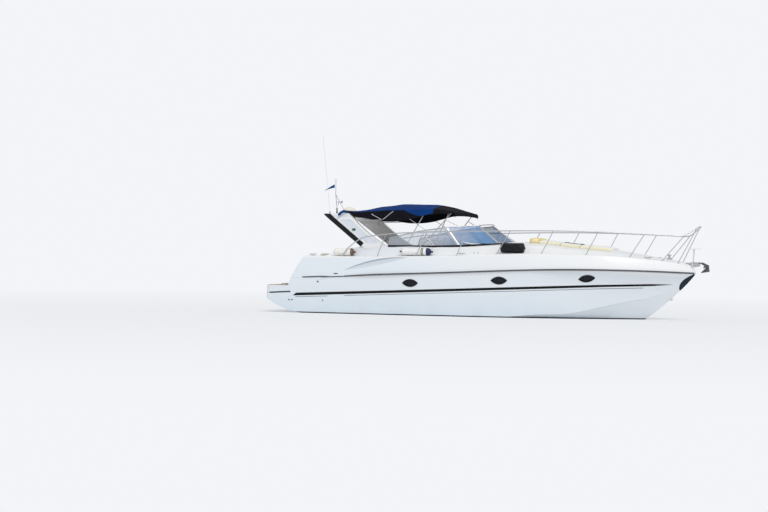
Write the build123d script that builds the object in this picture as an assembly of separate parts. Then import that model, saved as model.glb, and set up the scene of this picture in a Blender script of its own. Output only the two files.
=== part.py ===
from build123d import *

import math
import os

# Speedboat: an open express motor cruiser about 13 m long, as it lies afloat.
# X points to the bow, Y to port and Z up. The origin is amidships on the centreline,
# in the plane of the still water. Lengths are in millimetres.


def table(columns, rows):
    """Rows of a short table, each as a dictionary with the named columns."""
    names = columns.split()
    return [dict(zip(names, row)) for row in rows]


# The outer form, one row a station from the platform's aft edge to the stem head.
# Half breadths are y, heights z. side_sag is how far the topside bows outward.
STATIONS = table(
    "x keel_z chine_y chine_z sheer_y side_sag edge_y edge_z walk_y coaming_y coaming_z crown_z",
    [
        (-6700, -660, 1610, -120, 1850, 20, 1790, 1700, 1580, 1490, 1735, 1750),
        (-4700, -690, 1680, -115, 1965, 25, 1905, 1720, 1560, 1500, 1800, 1830),
        (-3500, -700, 1715, -105, 2025, 30, 1955, 1728, 1610, 1530, 2070, 2130),
        (-1500, -700, 1740, -80, 2080, 30, 1990, 1765, 1670, 1550, 2085, 2190),
        (600, -700, 1690, -10, 2075, 20, 1960, 1845, 1590, 1430, 2140, 2262),
        (2200, -650, 1480, 120, 1965, 0, 1840, 1890, 1380, 1190, 2125, 2240),
        (3700, -480, 1080, 340, 1680, -40, 1540, 1870, 1060, 900, 2010, 2105),
        (4900, -20, 600, 620, 1230, -55, 1100, 1795, 690, 560, 1875, 1940),
        (5700, 620, 260, 900, 760, -35, 660, 1718, 380, 290, 1768, 1812),
        (6200, 1110, 95, 1240, 370, -12, 320, 1620, 170, 120, 1655, 1680),
        (6410, 1360, 25, 1390, 110, 0, 90, 1485, 50, 30, 1500, 1510),
    ],
)
CHINE_FLAT = 70
CHINE_DROP = 12
EDGE_ROUND = 45
WALK_RISE = 50
JOINT_LAP = 90

# The sheer: straight as far as the break, then falling away to the bow
SHEER_BREAK_X = 1200
SHEER_BREAK_Z = 1410
SHEER_SLOPE = 0.0475
SHEER_DROP = 9.07e-6
SHEER_TIP_X = 6600

# Stern
PLATFORM_AFT_X = -6640
PLATFORM_TOP_Z = 840
PLATFORM_LOW_Z = 490
PLATFORM_CORNER = 380
TRANSOM_FOOT_X = -5830
TRANSOM_MID_X = -5660
TRANSOM_MID_Z = 1210
TRANSOM_HEAD_X = -5330
TRANSOM_HEAD_Z = 1720
UNDER_X = -5450
UNDER_Z = 10
UNDER_MID_X = -6010
UNDER_MID_Z = 130
TEAK = 12

# Air scoops in the deck moulding's sides: upper edge, aft to fore
SCOOP = table("x z", [(-3960, 1335), (-2970, 1672), (-1940, 1755)])
SCOOP_DEEP = 60
SCOOP_TALL = 300
SCOOP_INNER_Y = 1750

# Cockpit well
WELL_AFT_X = -5050
WELL_FORE_X = 300
WELL_Y = 1400
WELL_CORNER = 220
SOLE_Z = 1140
SOLE_THICK = 30
SOLE_GAP = 4
SEAT_GAP = 0.3

# Engine bay under the sole, with its two engines
BAY_AFT_X = -4900
BAY_FORE_X = -2200
BAY_Y = 1250
BAY_FLOOR_Y = 900
BAY_FLOOR_Z = -250
ENGINE = (1050, 760, 850)
ENGINE_X = -3650
ENGINE_Y = 520

# Engine hatch in the sole
HATCH_AFT_X = -4400
HATCH_FORE_X = -2950
HATCH_Y = 800
LID_GAP = 6
LEDGE = 40

# Cabin under the foredeck
CABIN_AFT_X = 420
CABIN_FORE_X = 4900
CABIN_STOPS = (2200, 3700)
CABIN_FLOOR_Z = 30
CABIN_WALL = 130
CABIN_SOLE_Z = 70
BERTH_X = (900, 2500)
BERTH_Y = 620
BERTH_Z = 520
BOW_BERTH_Z = 760
DOOR_Y0 = -60
DOOR_Y1 = 540
DOOR_Z0 = 1190
DOOR_Z1 = 1990
DOOR_THICK = 25
DOOR_LAP = 30

# Gate in the transom, on the port side
GATE_Y0 = 760
GATE_Y1 = 1320
GATE_THICK = 50
GATE_X = -5300
GATE_TOP_Z = 1660

# Radar arch
ARCH_FOOT_AFT = (-3430, 1990)
ARCH_TOP_Z = 3085
ARCH_HEAD_AFT = (-4860, ARCH_TOP_Z)
ARCH_HEAD_FORE = (-4080, ARCH_TOP_Z)
ARCH_BEND_FORE = (-3900, 2945)
ARCH_FOOT_FORE = (-2720, 2060)
ARCH_FOOT_Y = 1570
ARCH_HEAD_Y = 1390
ARCH_CORNER = 220
ARCH_HOLLOW = 60
ARCH_WALL = 130
ARCH_STRIP = 110
STRIP_START = 160
STRIP_STOP = 20
STRIP_LAP = 30
STRIP_PROUD = 14
ARCH_PANEL = table(
    "x z",
    [(-3395, 2160), (-2960, 2160), (-3430, 2435), (-3965, 2885), (-4350, 2885)],
)
ARCH_PANEL_DEEP = 12
ARCH_PANEL_ROUND = 35

# Windscreen, half of it: base and top points of each post, from the aft end to the front
SCREEN_POSTS = table(
    "base_x base_y base_z top_x top_y top_z plate",
    [
        (-2700, 1545, 2120, -2640, 1530, 2350, 0),
        (-1250, 1530, 2125, -1700, 1480, 2560, 0),
        (-500, 1490, 2150, -950, 1330, 2680, 58),
        (680, 1150, 2225, -30, 860, 2755, 50),
    ],
)
SCREEN_FRONT_BASE = (830, 2275)
SCREEN_FRONT_TOP = (150, 2795)
GLASS = 8
SCREEN_BAR = 15
PLATE_PROUD = 4
PLATE_LIFT = 8
TRIM_TALL = 60
TRIM_THICK = 22

# Canopy: sections of the cloth from aft to front
CANOPY_STATIONS = table(
    "x edge_z half_y shoulder_z shoulder_y crown_z",
    [
        (-4090, 3105, 1270, 3150, 1200, 3175),
        (-3850, 3000, 1300, 3130, 1235, 3230),
        (-3400, 2915, 1345, 3150, 1270, 3310),
        (-2900, 2845, 1370, 3185, 1290, 3385),
        (-2250, 2880, 1370, 3205, 1290, 3420),
        (-1500, 3065, 1350, 3240, 1275, 3390),
        (-1150, 3100, 1340, 3225, 1265, 3345),
        (-880, 3110, 1325, 3180, 1255, 3245),
        (-680, 3115, 1310, 3145, 1245, 3170),
    ],
)
CLOTH = 14
BOW_R = 13
BOW_CLEAR = 8
KNUCKLE = (-2950, 1395, 2885)
KNUCKLE_STAY = (-3880, 1310, 2860)
BOWS = table("x foot_x", [(-1600, -2150), (-800, -1650)])
BOW_FOOT_Y = 1455
STRUTS = table("x z", [(-3310, 3054), (-2650, 3140)])
STRUT_PIN_R = 8
BRACE_R = 8
BRACE_TO_LEG = (-580, 1141, 2710)
BRACE_SHARE = 0.79
STRAP = ((-2090, 1362, 2926), (-1540, 1448, 2586))

# Guard rail, half of it: base of each stanchion and the point of the rail over it
RAIL_POSTS = table(
    "base_x base_y top_x top_y top_z",
    [
        (-2940, 1870, -2670, 1860, 2462),
        (-1710, 1905, -1360, 1900, 2530),
        (-420, 1915, -120, 1920, 2560),
        (800, 1870, 1220, 1890, 2592),
        (2140, 1760, 2500, 1760, 2606),
        (3430, 1520, 3780, 1480, 2592),
        (4650, 1110, 5070, 1000, 2548),
        (5540, 680, 6150, 520, 2500),
    ],
)
RAIL_START = table(
    "x y z",
    [(-3930, 1858, 1980), (-3500, 1855, 2330)],
)
RAIL_START_X = -4060
RAIL_START_Y = 1850
PULPIT_POINTS = table("x y z", [(6400, 330, 2680), (6560, 160, 2800)])
PULPIT_LEGS = table("base_x base_y top_x top_y top_z", [(5970, 400, 6490, 234, 2748)])
STEP_X = (6200, 6580)
STEP_Y = 150
STEP_Z = 2150
STEP_THICK = 24
STEP_POST_X = 6330
STEP_POST_Y = 80
STEP_POST_LOW = 1500
RAIL_R = 16
POST_R = 12.5
FOOT_R = 36
FOOT_TALL = 8

# Ports in the topside: place of each along the boat and its height
PORTS = table("x z", [(-1840, 985), (910, 1110), (3470, 1210)])
PORT_LONG = 500
PORT_TALL = 240
PORT_RIM = 26
PORT_PROUD = 10
PORT_DEEP = 40
PORT_SUNK = 12

# Running gear, one side
SHAFT_Y = 560
SHAFT_R = 25
SHAFT_FORE = (-2900, -436)
SHAFT_AFT = (-4980, -840)
SHAFT_CLEAR = 6
BEARING_CLEAR = 0.3
PROP_R = 250
PROP_HUB_R = 62
PROP_HUB = 190
PROP_BLADES = 4
BRACKET_X = -4640
BRACKET_LONG = 150
BRACKET_R = 44
RUDDER_X = -5260
RUDDER_Y = 560
RUDDER_GAP = 12
RUDDER_TALL = 520
RUDDER_CHORD = 330
RUDDER_THICK = 28
STOCK_R = 24
STOCK_UP = 120
TAB_Y0 = 820
TAB_Y1 = 1440
TAB_LONG = 300
TAB_THICK = 10
TAB_GAP = 6

# Lids let into the foredeck, and the deck hatch that stands on it
PANEL = 22
LOCKER_X0 = 5000
LOCKER_X1 = 5420
LOCKER_Y = 170
LOCKER_DEEP = 260
DECK_HATCH_X0 = 2480
DECK_HATCH_X1 = 3020
DECK_HATCH_Y = 270
DECK_HATCH_FRAME = 45
DECK_HATCH_TALL = 60
DECK_HATCH_LID = 25

# Sun pad on the foredeck
PAD_X0 = 1480
PAD_X1 = 4050
PAD_Y = 720
PAD_TALL = 75
PAD_CORNER = 160
PAD_CLEAR = 30
BOLSTER_LONG = 300
BOLSTER_TALL = 50

# Cockpit furniture
CONSOLE_Y0 = -1400
CONSOLE_Y1 = -380
CONSOLE_SIDE = table(
    "x z",
    [
        (-1330, 1140),
        (-1410, 1740),
        (-1230, 1985),
        (-1250, 2110),
        (-1380, 2240),
        (-1330, 2310),
        (-1180, 2305),
        (-1120, 2265),
        (-960, 2370),
        (-860, 2375),
        (-160, 2215),
        (296, 2190),
        (296, 1140),
    ],
)
SHELF_Y0 = 620
SHELF_SIDE = table("x z", [(-240, 2110), (-240, 2190), (-160, 2215), (296, 2190), (296, 2110)])
WHEEL_X = -1500
WHEEL_Y = -860
WHEEL_Z = 1860
WHEEL_R = 190
WHEEL_RIM_R = 15
WHEEL_TILT = 25
WHEEL_HUB_LONG = 70
WHEEL_HUB_R = 28
SPOKE_WIDE = 26
SPOKE_THICK = 8
COLUMN_R = 34
COLUMN_LONG = 200
HELM_SEAT = (-2560, -2040, -1340, -420)
HELM_SEAT_Z = 1650
SEAT_BASE_ROUND = 30
CUSHION = 110
CUSHION_ROUND = 25
BACK_THICK = 110
HELM_BACK_Z = 2150
SETTEE_FORE_X = -4520
SETTEE_Y1 = 690
SETTEE_Z = 1520
SETTEE_BACK_Z = 1860
LOUNGE = (-2350, -900, 800, 1384)
BAR = (-3560, -2700, 900, 1384)
BAR_Z = 2000
BAR_LID = 18
BASIN = 300
BASIN_DEEP = 150
FLESH = 4

# What stands on the arch
RADOME_X = -4500
RADOME_R = 235
RADOME_TALL = 200
RADOME_FOOT = 30
RADOME_PAN = 50
MAST_Y = -620
MAST_FEET_X = (-4680, -4400)
MAST_APEX = (-4750, 3700)
MAST_HEAD_Z = 4080
MAST_R = 12
MAST_LIGHT_R = 30
MAST_LIGHT_TALL = 90
WHIP_X = -4790
WHIP_Y = -1020
WHIP_LONG = 2400
WHIP_LEAN = 6.5
WHIP_R = 8
WHIP_FOOT_R = 26
WHIP_FOOT_TALL = 60
WHIP_FOOT_LOW = 12
WHIP_BALL_R = 18
ROLL_X = -4180
ROLL_R = 48
ROLL_Y = 1230

# Ground tackle and fittings
ROLLER_X0 = 6020
ROLLER_X1 = 6560
ROLLER_Y = 42
ROLLER_R = 32
ROLLER_Z = 1665
CHEEK = 8
WINDLASS_X = 5640
WINDLASS_R = 60
WINDLASS_TALL = 150
CLEATS = table("x y", [(-5050, 1775), (-300, 1860), (5150, 830)])
CLEAT_LONG = 240
CLEAT_TALL = 55
CLEAT_R = 13
EYE_Z = 620
EYE_R = 16
EYE_PLATE = 14
EYE_OUT = 60
STERN_EYE_Y = 1200
STERN_EYE_Z = 640
GUARD_X0 = 5800
GUARD_Z0 = 960
GUARD_X1 = 6190
GUARD_Z1 = 1380
GUARD_MIDDLE = (5985, 1200)
GUARD_THICK = 12
LADDER_HALF = 160
LADDER_LONG = 640
LADDER_R = 13
LADDER_TREADS = 4
LADDER_OUT = 26
FENDERS = table(
    "x y long radius",
    [
        (-4060, 1708, 770, 118),
        (-1730, 1765, 1060, 112),
        (1250, 1720, 800, 150),
    ],
)

FENDER_GAP = 8
NECK_R = 22
NECK_LONG = 60
END_LONG = 190

OUT = "parts"
FAR = 9000


def column(name, x):
    """A column of the station table at any x, on straight lines between its rows."""
    rows = STATIONS
    for low, high in zip(rows, rows[1:]):
        if x <= high["x"] or high is rows[-1]:
            part = (x - low["x"]) / (high["x"] - low["x"])
            return low[name] + part * (high[name] - low[name])


def sheer_z(x):
    """Height of the joint between hull and deck."""
    past = max(0, x - SHEER_BREAK_X)
    return SHEER_BREAK_Z + SHEER_SLOPE * (x - SHEER_BREAK_X) - SHEER_DROP * past**2


def section(x, half, sags, crown_z=None):
    """Closed cross-section at x from half its corners, bottom centre first.

    Side i bows outward by sags[i]. The top is flat, or rises to crown_z on the centreline.
    """
    port = [Vector(x, y, z) for y, z in half]
    starboard = [Vector(x, -y, z) for y, z in reversed(half) if y > 0]
    points = port + starboard
    bows = list(sags) + [0] + list(reversed(sags)) + [0]
    edges = []
    for i, start in enumerate(points):
        end = points[(i + 1) % len(points)]
        if i == len(half) - 1 and crown_z is not None:
            edges.append(ThreePointArc(start, Vector(x, 0, crown_z), end))
            continue
        if bows[i]:
            along = (end - start).normalized()
            outward = along.cross(Vector(1, 0, 0)) * -1
            middle = (start + end) * 0.5
            if outward.dot(Vector(0, middle.Y, 0)) < 0:
                outward = outward * -1
            edges.append(ThreePointArc(start, middle + outward * bows[i], end))
            continue
        edges.append(Line(start, end))
    return Face(Wire([edge.edge() for edge in edges]))


def side_face(*curves):
    """Face in the side view from curves drawn in (x, z)."""
    return Plane.XZ * make_face(Curve() + list(curves))


def side_polygon(*points):
    """Side view polygon from (x, z) points."""
    return Plane.XZ * make_face(Polyline(*points, close=True))


def across(face, y0, y1):
    """Side view face made solid between two breadths."""
    return Pos(0, y1, 0) * extrude(face, y1 - y0)


def block(x0, x1, y0, y1, z0, z1):
    """Box between the given planes."""
    centre = Pos((x0 + x1) / 2, (y0 + y1) / 2, (z0 + z1) / 2)
    return centre * Box(x1 - x0, y1 - y0, z1 - z0)


def rounded_block(x0, x1, y0, y1, z0, z1, radius):
    """Box with its upright edges rounded."""
    return fillet(block(x0, x1, y0, y1, z0, z1).edges().filter_by(Axis.Z), radius)


def rod(start, end, radius):
    """Round bar from one point to another."""
    start = Vector(*start)
    end = Vector(*end)
    direction = end - start
    return extrude(Plane(start, z_dir=direction) * Circle(radius), direction.length)


def tube(points, radii, radius):
    """Round bar along straight runs joined by tangent arcs."""
    path = FilletPolyline(*points, radius=radii)
    start = Plane(path @ 0, z_dir=path % 0)
    return sweep(start * Circle(radius), path=path)


def mirrored(shape):
    """The shape's twin on the other side of the centreline."""
    return mirror(shape, about=Plane.XZ)


def both_sides(shape):
    """The shape and its twin."""
    return shape + mirrored(shape)


def slab(base_a, base_b, top_b, top_a, thick):
    """Flat pane on four corners, with its thickness inboard."""
    corners = [Vector(*p) for p in (base_a, base_b, top_b, top_a)]
    normal = (corners[1] - corners[0]).cross(corners[3] - corners[0]).normalized()
    if normal.Y * corners[0].Y > 0:
        normal = normal * -1
    inner = [p + normal * thick for p in corners]
    low = Face(Wire.make_polygon([corners[0], corners[1], inner[1], inner[0]]))
    high = Face(Wire.make_polygon([corners[3], corners[2], inner[2], inner[3]]))
    return Solid.make_loft([low.outer_wire(), high.outer_wire()], ruled=True)


def height_on(faces, x, y):
    """Height of the highest of these faces over a point of the plan."""
    line = Axis((x, y, FAR), (0, 0, -1))
    hits = [point.Z for face in faces for point, _ in face.find_intersection_points(line)]
    return max(hits)


def breadth_on(faces, x, z):
    """Outermost point and outward direction on the port side at x and z."""
    line = Axis((x, FAR, z), (0, -1, 0))
    hits = [hit for face in faces for hit in face.find_intersection_points(line)]
    point, normal = max(hits, key=lambda hit: hit[0].Y)
    if normal.Y < 0:
        normal = normal * -1
    return point, normal


def sheer_curves():
    """The sheer in the side view, aft to fore."""
    mid_x = (SHEER_BREAK_X + SHEER_TIP_X) / 2
    aft_x = PLATFORM_AFT_X - 400
    straight = Line((aft_x, sheer_z(aft_x)), (SHEER_BREAK_X, sheer_z(SHEER_BREAK_X)))
    bend = ThreePointArc(
        (SHEER_BREAK_X, sheer_z(SHEER_BREAK_X)),
        (mid_x, sheer_z(mid_x)),
        (SHEER_TIP_X, sheer_z(SHEER_TIP_X)),
    )
    return straight, bend, aft_x


def sheer_prism(far_z):
    """Everything between the sheer and a far height."""
    straight, bend, aft_x = sheer_curves()
    close = Polyline(
        (SHEER_TIP_X, sheer_z(SHEER_TIP_X)),
        (SHEER_TIP_X, far_z),
        (aft_x, far_z),
        (aft_x, sheer_z(aft_x)),
    )
    return across(side_face(straight, bend, close), -FAR / 3, FAR / 3)


def behind_transom():
    """Space aft of the raked transom and over the platform."""
    rake = ThreePointArc(
        (TRANSOM_FOOT_X, PLATFORM_TOP_Z),
        (TRANSOM_MID_X, TRANSOM_MID_Z),
        (TRANSOM_HEAD_X, TRANSOM_HEAD_Z),
    )
    rest = Polyline(
        (TRANSOM_HEAD_X, TRANSOM_HEAD_Z),
        (TRANSOM_HEAD_X + 150, TRANSOM_HEAD_Z + 300),
        (-FAR, TRANSOM_HEAD_Z + 300),
        (-FAR, PLATFORM_TOP_Z),
        (TRANSOM_FOOT_X, PLATFORM_TOP_Z),
    )
    return across(side_face(rake, rest), -FAR / 3, FAR / 3)


def under_platform():
    """Space below the platform and aft of the running bottom."""
    curve = ThreePointArc(
        (UNDER_X, UNDER_Z), (UNDER_MID_X, UNDER_MID_Z), (PLATFORM_AFT_X, PLATFORM_LOW_Z)
    )
    rest = Polyline(
        (PLATFORM_AFT_X, PLATFORM_LOW_Z),
        (-FAR, PLATFORM_LOW_Z),
        (-FAR, -FAR / 3),
        (UNDER_X, -FAR / 3),
        (UNDER_X, UNDER_Z),
    )
    return across(side_face(curve, rest), -FAR / 3, FAR / 3)


def platform_corner():
    """What the platform's rounded corner leaves off, to port."""
    edge_y = column("sheer_y", PLATFORM_AFT_X)
    inner_x = PLATFORM_AFT_X + PLATFORM_CORNER
    inner_y = edge_y - PLATFORM_CORNER
    top_z = PLATFORM_TOP_Z + 50
    square = block(PLATFORM_AFT_X - 200, inner_x, inner_y, edge_y + 300, -FAR / 6, top_z)
    disc = Pos(inner_x, inner_y, 0) * Cylinder(PLATFORM_CORNER + FLESH, FAR)
    return square - disc


def hull_skin():
    """Outer form of the hull, run a little over the sheer."""
    rows = []
    for row in STATIONS:
        half = [
            (0, row["keel_z"]),
            (row["chine_y"] - CHINE_FLAT * row["chine_y"] / 1700, row["chine_z"] - CHINE_DROP),
            (row["chine_y"], row["chine_z"]),
            (row["sheer_y"], sheer_z(row["x"]) + JOINT_LAP),
        ]
        rows.append(section(row["x"], half, [0, 0, row["side_sag"]]))
    return loft(rows)


def deck_skin():
    """Outer form of the deck moulding, run a little under the sheer."""
    rows = []
    for row in STATIONS:
        small = min(1, row["edge_y"] / 900)
        half = [
            (row["sheer_y"], sheer_z(row["x"]) - JOINT_LAP * small),
            (row["edge_y"], row["edge_z"]),
            (row["edge_y"] - EDGE_ROUND * small, row["edge_z"] + EDGE_ROUND * small * 0.8),
            (row["walk_y"], row["edge_z"] + WALK_RISE * small),
            (row["coaming_y"], row["coaming_z"]),
        ]
        rows.append(section(row["x"], half, [12 * small, 6 * small, 0, 0], row["crown_z"]))
    return loft(rows)


def cabin_space():
    """Inside of the cabin under the foredeck."""
    rows = []
    for x in (CABIN_AFT_X, *CABIN_STOPS, CABIN_FORE_X):
        chine_y = column("chine_y", x)
        floor_z = max(CABIN_FLOOR_Z, column("keel_z", x) + 420)
        low_z = max(column("chine_z", x) + 60, floor_z)
        half = [
            (0, floor_z),
            (chine_y * 0.55, floor_z),
            (chine_y - CABIN_WALL, low_z + 40),
            (column("sheer_y", x) - CABIN_WALL, sheer_z(x)),
            (column("walk_y", x) - CABIN_WALL * 0.4, column("edge_z", x) - CABIN_WALL),
            (column("coaming_y", x) * 0.85, column("coaming_z", x) - CABIN_WALL),
        ]
        rows.append(section(x, half, [0] * 5, column("crown_z", x) - CABIN_WALL))
    return loft(rows, ruled=True)


def well_space(inset=0):
    """Inside of the cockpit well down to the underside of the sole, drawn in by inset."""
    low_z = SOLE_Z - SOLE_THICK
    half_y = WELL_Y - inset
    return rounded_block(
        WELL_AFT_X + inset, WELL_FORE_X - inset, -half_y, half_y, low_z, FAR / 3, WELL_CORNER - inset
    )


def bay_space():
    """Inside of the engine bay."""
    outline = make_face(
        Polyline(
            (-BAY_FLOOR_Y, BAY_FLOOR_Z),
            (BAY_FLOOR_Y, BAY_FLOOR_Z),
            (BAY_Y, BAY_FLOOR_Z + 500),
            (BAY_Y, SOLE_Z),
            (-BAY_Y, SOLE_Z),
            (-BAY_Y, BAY_FLOOR_Z + 500),
            close=True,
        )
    )
    return Pos(BAY_AFT_X, 0, 0) * extrude(Plane.YZ * outline, BAY_FORE_X - BAY_AFT_X)


def companionway():
    """Way from the cockpit into the cabin."""
    x0 = WELL_FORE_X - 50
    x1 = CABIN_AFT_X + 50
    return block(x0, x1, DOOR_Y0, DOOR_Y1, DOOR_Z0, DOOR_Z1)


def scoop(skin_faces):
    """Air scoop in the port side: deep under its upper edge, running out below."""
    high = [(p["x"], p["z"]) for p in SCOOP]
    aft, middle, fore = [breadth_on(skin_faces, x, z)[0] for x, z in high]
    middle = middle - Vector(0, SCOOP_DEEP, 0)
    drop = SCOOP_TALL
    outline = side_face(
        ThreePointArc(*high),
        Polyline(high[2], (high[2][0], high[2][1] - drop), (high[0][0], high[0][1] - drop), high[0]),
    )
    normal = (middle - aft).cross(fore - aft)
    if normal.Y < 0:
        normal = normal * -1
    floor = Plane(aft, x_dir=fore - aft, z_dir=normal)
    outside = floor * Pos(0, 0, FAR / 4) * Box(FAR, FAR, FAR / 2)
    return across(outline, SCOOP_INNER_Y, FAR / 3) & outside


def make_hull(skin):
    """Hull moulding with the swim platform, engine bay and cabin space."""
    hull = skin & sheer_prism(-FAR / 3)
    hull -= behind_transom()
    hull -= under_platform()
    hull -= block(-FAR, PLATFORM_AFT_X, -FAR / 3, FAR / 3, -FAR / 3, FAR / 3)
    hull -= both_sides(platform_corner())
    hull -= well_space()
    hull -= bay_space()
    hull -= cabin_space()
    hull -= companionway()
    hull -= port_pockets(skin.faces())
    hull -= both_sides(shaft_line(0, 1.01, SHAFT_R + SHAFT_CLEAR))
    hull -= both_sides(stock_bore(skin.faces()))
    return hull


def make_deck(skin):
    """Deck moulding: side decks, coamings, foredeck and transom."""
    deck = skin & sheer_prism(FAR / 3)
    deck -= behind_transom()
    deck -= well_space()
    deck -= cabin_space()
    deck -= companionway()
    deck -= both_sides(scoop(skin.faces()))
    deck -= block(-FAR, WELL_AFT_X + 50, GATE_Y0, GATE_Y1, SOLE_Z, FAR / 3)
    deck -= locker_pocket(skin)
    deck -= hatch_hole()
    return deck


def make_rub_rail(hull, deck):
    """Rubbing strake over the joint between hull and deck, on both sides."""
    rows = []
    for row in STATIONS[1:]:
        small = min(1, row["sheer_y"] / 300)
        y = row["sheer_y"]
        z = sheer_z(row["x"])
        ring = [
            (row["x"], y - 60 * small, z - 26),
            (row["x"], y + 22, z - 18),
            (row["x"], y + 22, z + 18),
            (row["x"], y - 60 * small, z + 26),
        ]
        rows.append(Face(Wire.make_polygon([Vector(*p) for p in ring])))
    strake = loft(rows)
    strake -= block(-FAR, TRANSOM_HEAD_X + 20, -FAR / 3, FAR / 3, 0, FAR / 3)
    strake = both_sides(strake)
    strake -= hull
    strake -= deck
    return strake


def make_sole():
    """Laid cockpit sole, with the opening and the ledge for the engine hatch."""
    low_z = SOLE_Z - SOLE_THICK
    sole = well_space(SOLE_GAP) & block(-FAR, FAR, -FAR, FAR, low_z, SOLE_Z)
    sole -= block(HATCH_AFT_X, HATCH_FORE_X, -HATCH_Y, HATCH_Y, low_z, SOLE_Z)
    half_y = HATCH_Y + LEDGE
    outer = block(HATCH_AFT_X - LEDGE, HATCH_FORE_X + LEDGE, -half_y, half_y, low_z - LEDGE, low_z)
    half_y = HATCH_Y - LEDGE
    inner = block(HATCH_AFT_X + LEDGE, HATCH_FORE_X - LEDGE, -half_y, half_y, low_z - LEDGE, low_z)
    return sole + (outer - inner)


def make_engine_hatch():
    """Lid in the sole over the engines."""
    low_z = SOLE_Z - SOLE_THICK + SEAT_GAP
    return block(
        HATCH_AFT_X + LID_GAP, HATCH_FORE_X - LID_GAP, LID_GAP - HATCH_Y, HATCH_Y - LID_GAP, low_z, SOLE_Z
    )


def make_engine():
    """One engine as a plain block on its beds."""
    long, wide, tall = ENGINE
    return block(
        ENGINE_X - long / 2,
        ENGINE_X + long / 2,
        ENGINE_Y - wide / 2,
        ENGINE_Y + wide / 2,
        BAY_FLOOR_Z,
        BAY_FLOOR_Z + tall,
    )


def make_platform_teak():
    """Planked pad on the swim platform."""
    edge_y = column("sheer_y", PLATFORM_AFT_X) - 190
    pad = rounded_block(
        PLATFORM_AFT_X + 70, TRANSOM_FOOT_X - 60,
        -edge_y, edge_y,
        PLATFORM_TOP_Z, PLATFORM_TOP_Z + TEAK,
        120,
    )
    return pad


def make_gate():
    """Gate leaf across the gap in the transom."""
    leaf = block(
        GATE_X, GATE_X + GATE_THICK,
        GATE_Y0 + LID_GAP, GATE_Y1 - LID_GAP,
        SOLE_Z + LID_GAP, GATE_TOP_Z,
    )
    pin_r = LID_GAP - SEAT_GAP
    pin = rod(
        (GATE_X + GATE_THICK, GATE_Y1 - LID_GAP, SOLE_Z + 80),
        (GATE_X + GATE_THICK, GATE_Y1 - LID_GAP, GATE_TOP_Z - 80),
        pin_r,
    )
    return leaf + pin


def make_door():
    """Sliding door over the companionway, on the cockpit side of the bulkhead."""
    x1 = WELL_FORE_X - SEAT_GAP
    return block(
        x1 - DOOR_THICK, x1,
        DOOR_Y0 - DOOR_LAP, DOOR_Y1 + DOOR_LAP,
        DOOR_Z0 - DOOR_LAP, DOOR_Z1 + DOOR_LAP,
    )


def arch_side():
    """Radar arch in the side view."""
    aft = Line(ARCH_FOOT_AFT, ARCH_HEAD_AFT)
    head = Line(ARCH_HEAD_AFT, ARCH_HEAD_FORE)
    nose = Line(ARCH_HEAD_FORE, ARCH_BEND_FORE)
    mid_x = (ARCH_BEND_FORE[0] + ARCH_FOOT_FORE[0]) / 2 - ARCH_HOLLOW
    mid_z = (ARCH_BEND_FORE[1] + ARCH_FOOT_FORE[1]) / 2 - ARCH_HOLLOW / 3
    fore = ThreePointArc(ARCH_BEND_FORE, (mid_x, mid_z), ARCH_FOOT_FORE)
    foot = Line(ARCH_FOOT_FORE, ARCH_FOOT_AFT)
    return side_face(aft, head, nose, fore, foot)


def arch_front(inset):
    """Outline of the arch seen from ahead, drawn in by inset."""
    foot_z = ARCH_FOOT_AFT[1] - 300
    head_z = ARCH_TOP_Z + 5 - inset
    foot_y = ARCH_FOOT_Y - inset + 300 * (ARCH_FOOT_Y - ARCH_HEAD_Y) / 1000
    head_y = ARCH_HEAD_Y - inset
    outline = Polyline((foot_y, foot_z), (head_y, head_z), (-head_y, head_z), (-foot_y, foot_z), close=True)
    face = make_face(outline)
    corners = face.vertices().group_by(Axis.Y)[-1]
    return Plane.YZ * fillet(corners, ARCH_CORNER)


def make_arch(deck):
    """Radar arch: two swept legs and the beam that joins them."""
    frame = arch_front(0) - arch_front(ARCH_WALL)
    solid = across(arch_side(), -FAR / 3, FAR / 3)
    solid &= Pos(-FAR, 0, 0) * extrude(frame, FAR * 2)
    corners = [(p["x"], p["z"]) for p in ARCH_PANEL]
    panel = Plane.XZ * make_face(FilletPolyline(*corners, radius=ARCH_PANEL_ROUND, close=True))
    panel = across(panel, 0, FAR / 3)
    panel -= Pos(-FAR, 0, 0) * extrude(arch_front(ARCH_PANEL_DEEP), FAR * 2)
    return solid - both_sides(panel) - deck


def make_arch_strips(arch):
    """Dark strip along the aft edge of each leg."""
    x0, z0 = ARCH_FOOT_AFT
    x1, z1 = ARCH_HEAD_AFT
    long = math.hypot(x1 - x0, z1 - z0)
    ax = (x1 - x0) / long
    az = (z1 - z0) / long
    low_x = x0 + ax * STRIP_START
    low_z = z0 + az * STRIP_START
    high_x = x1 - ax * STRIP_STOP
    high_z = z1 - az * STRIP_STOP
    points = [
        (low_x - az * STRIP_LAP, low_z + ax * STRIP_LAP),
        (high_x - az * STRIP_LAP, high_z + ax * STRIP_LAP),
        (high_x + az * ARCH_STRIP, high_z - ax * ARCH_STRIP),
        (low_x + az * ARCH_STRIP, low_z - ax * ARCH_STRIP),
    ]
    band = across(side_polygon(*points), -FAR / 3, FAR / 3)
    shell = arch_front(-STRIP_PROUD) - arch_front(STRIP_PROUD + STRIP_LAP)
    band &= Pos(-FAR, 0, 0) * extrude(shell, FAR * 2)
    band -= arch
    band -= block(-FAR, FAR, ARCH_STRIP / 2 - ARCH_HEAD_Y, ARCH_HEAD_Y - ARCH_STRIP / 2, 0, FAR)
    return band


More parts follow.
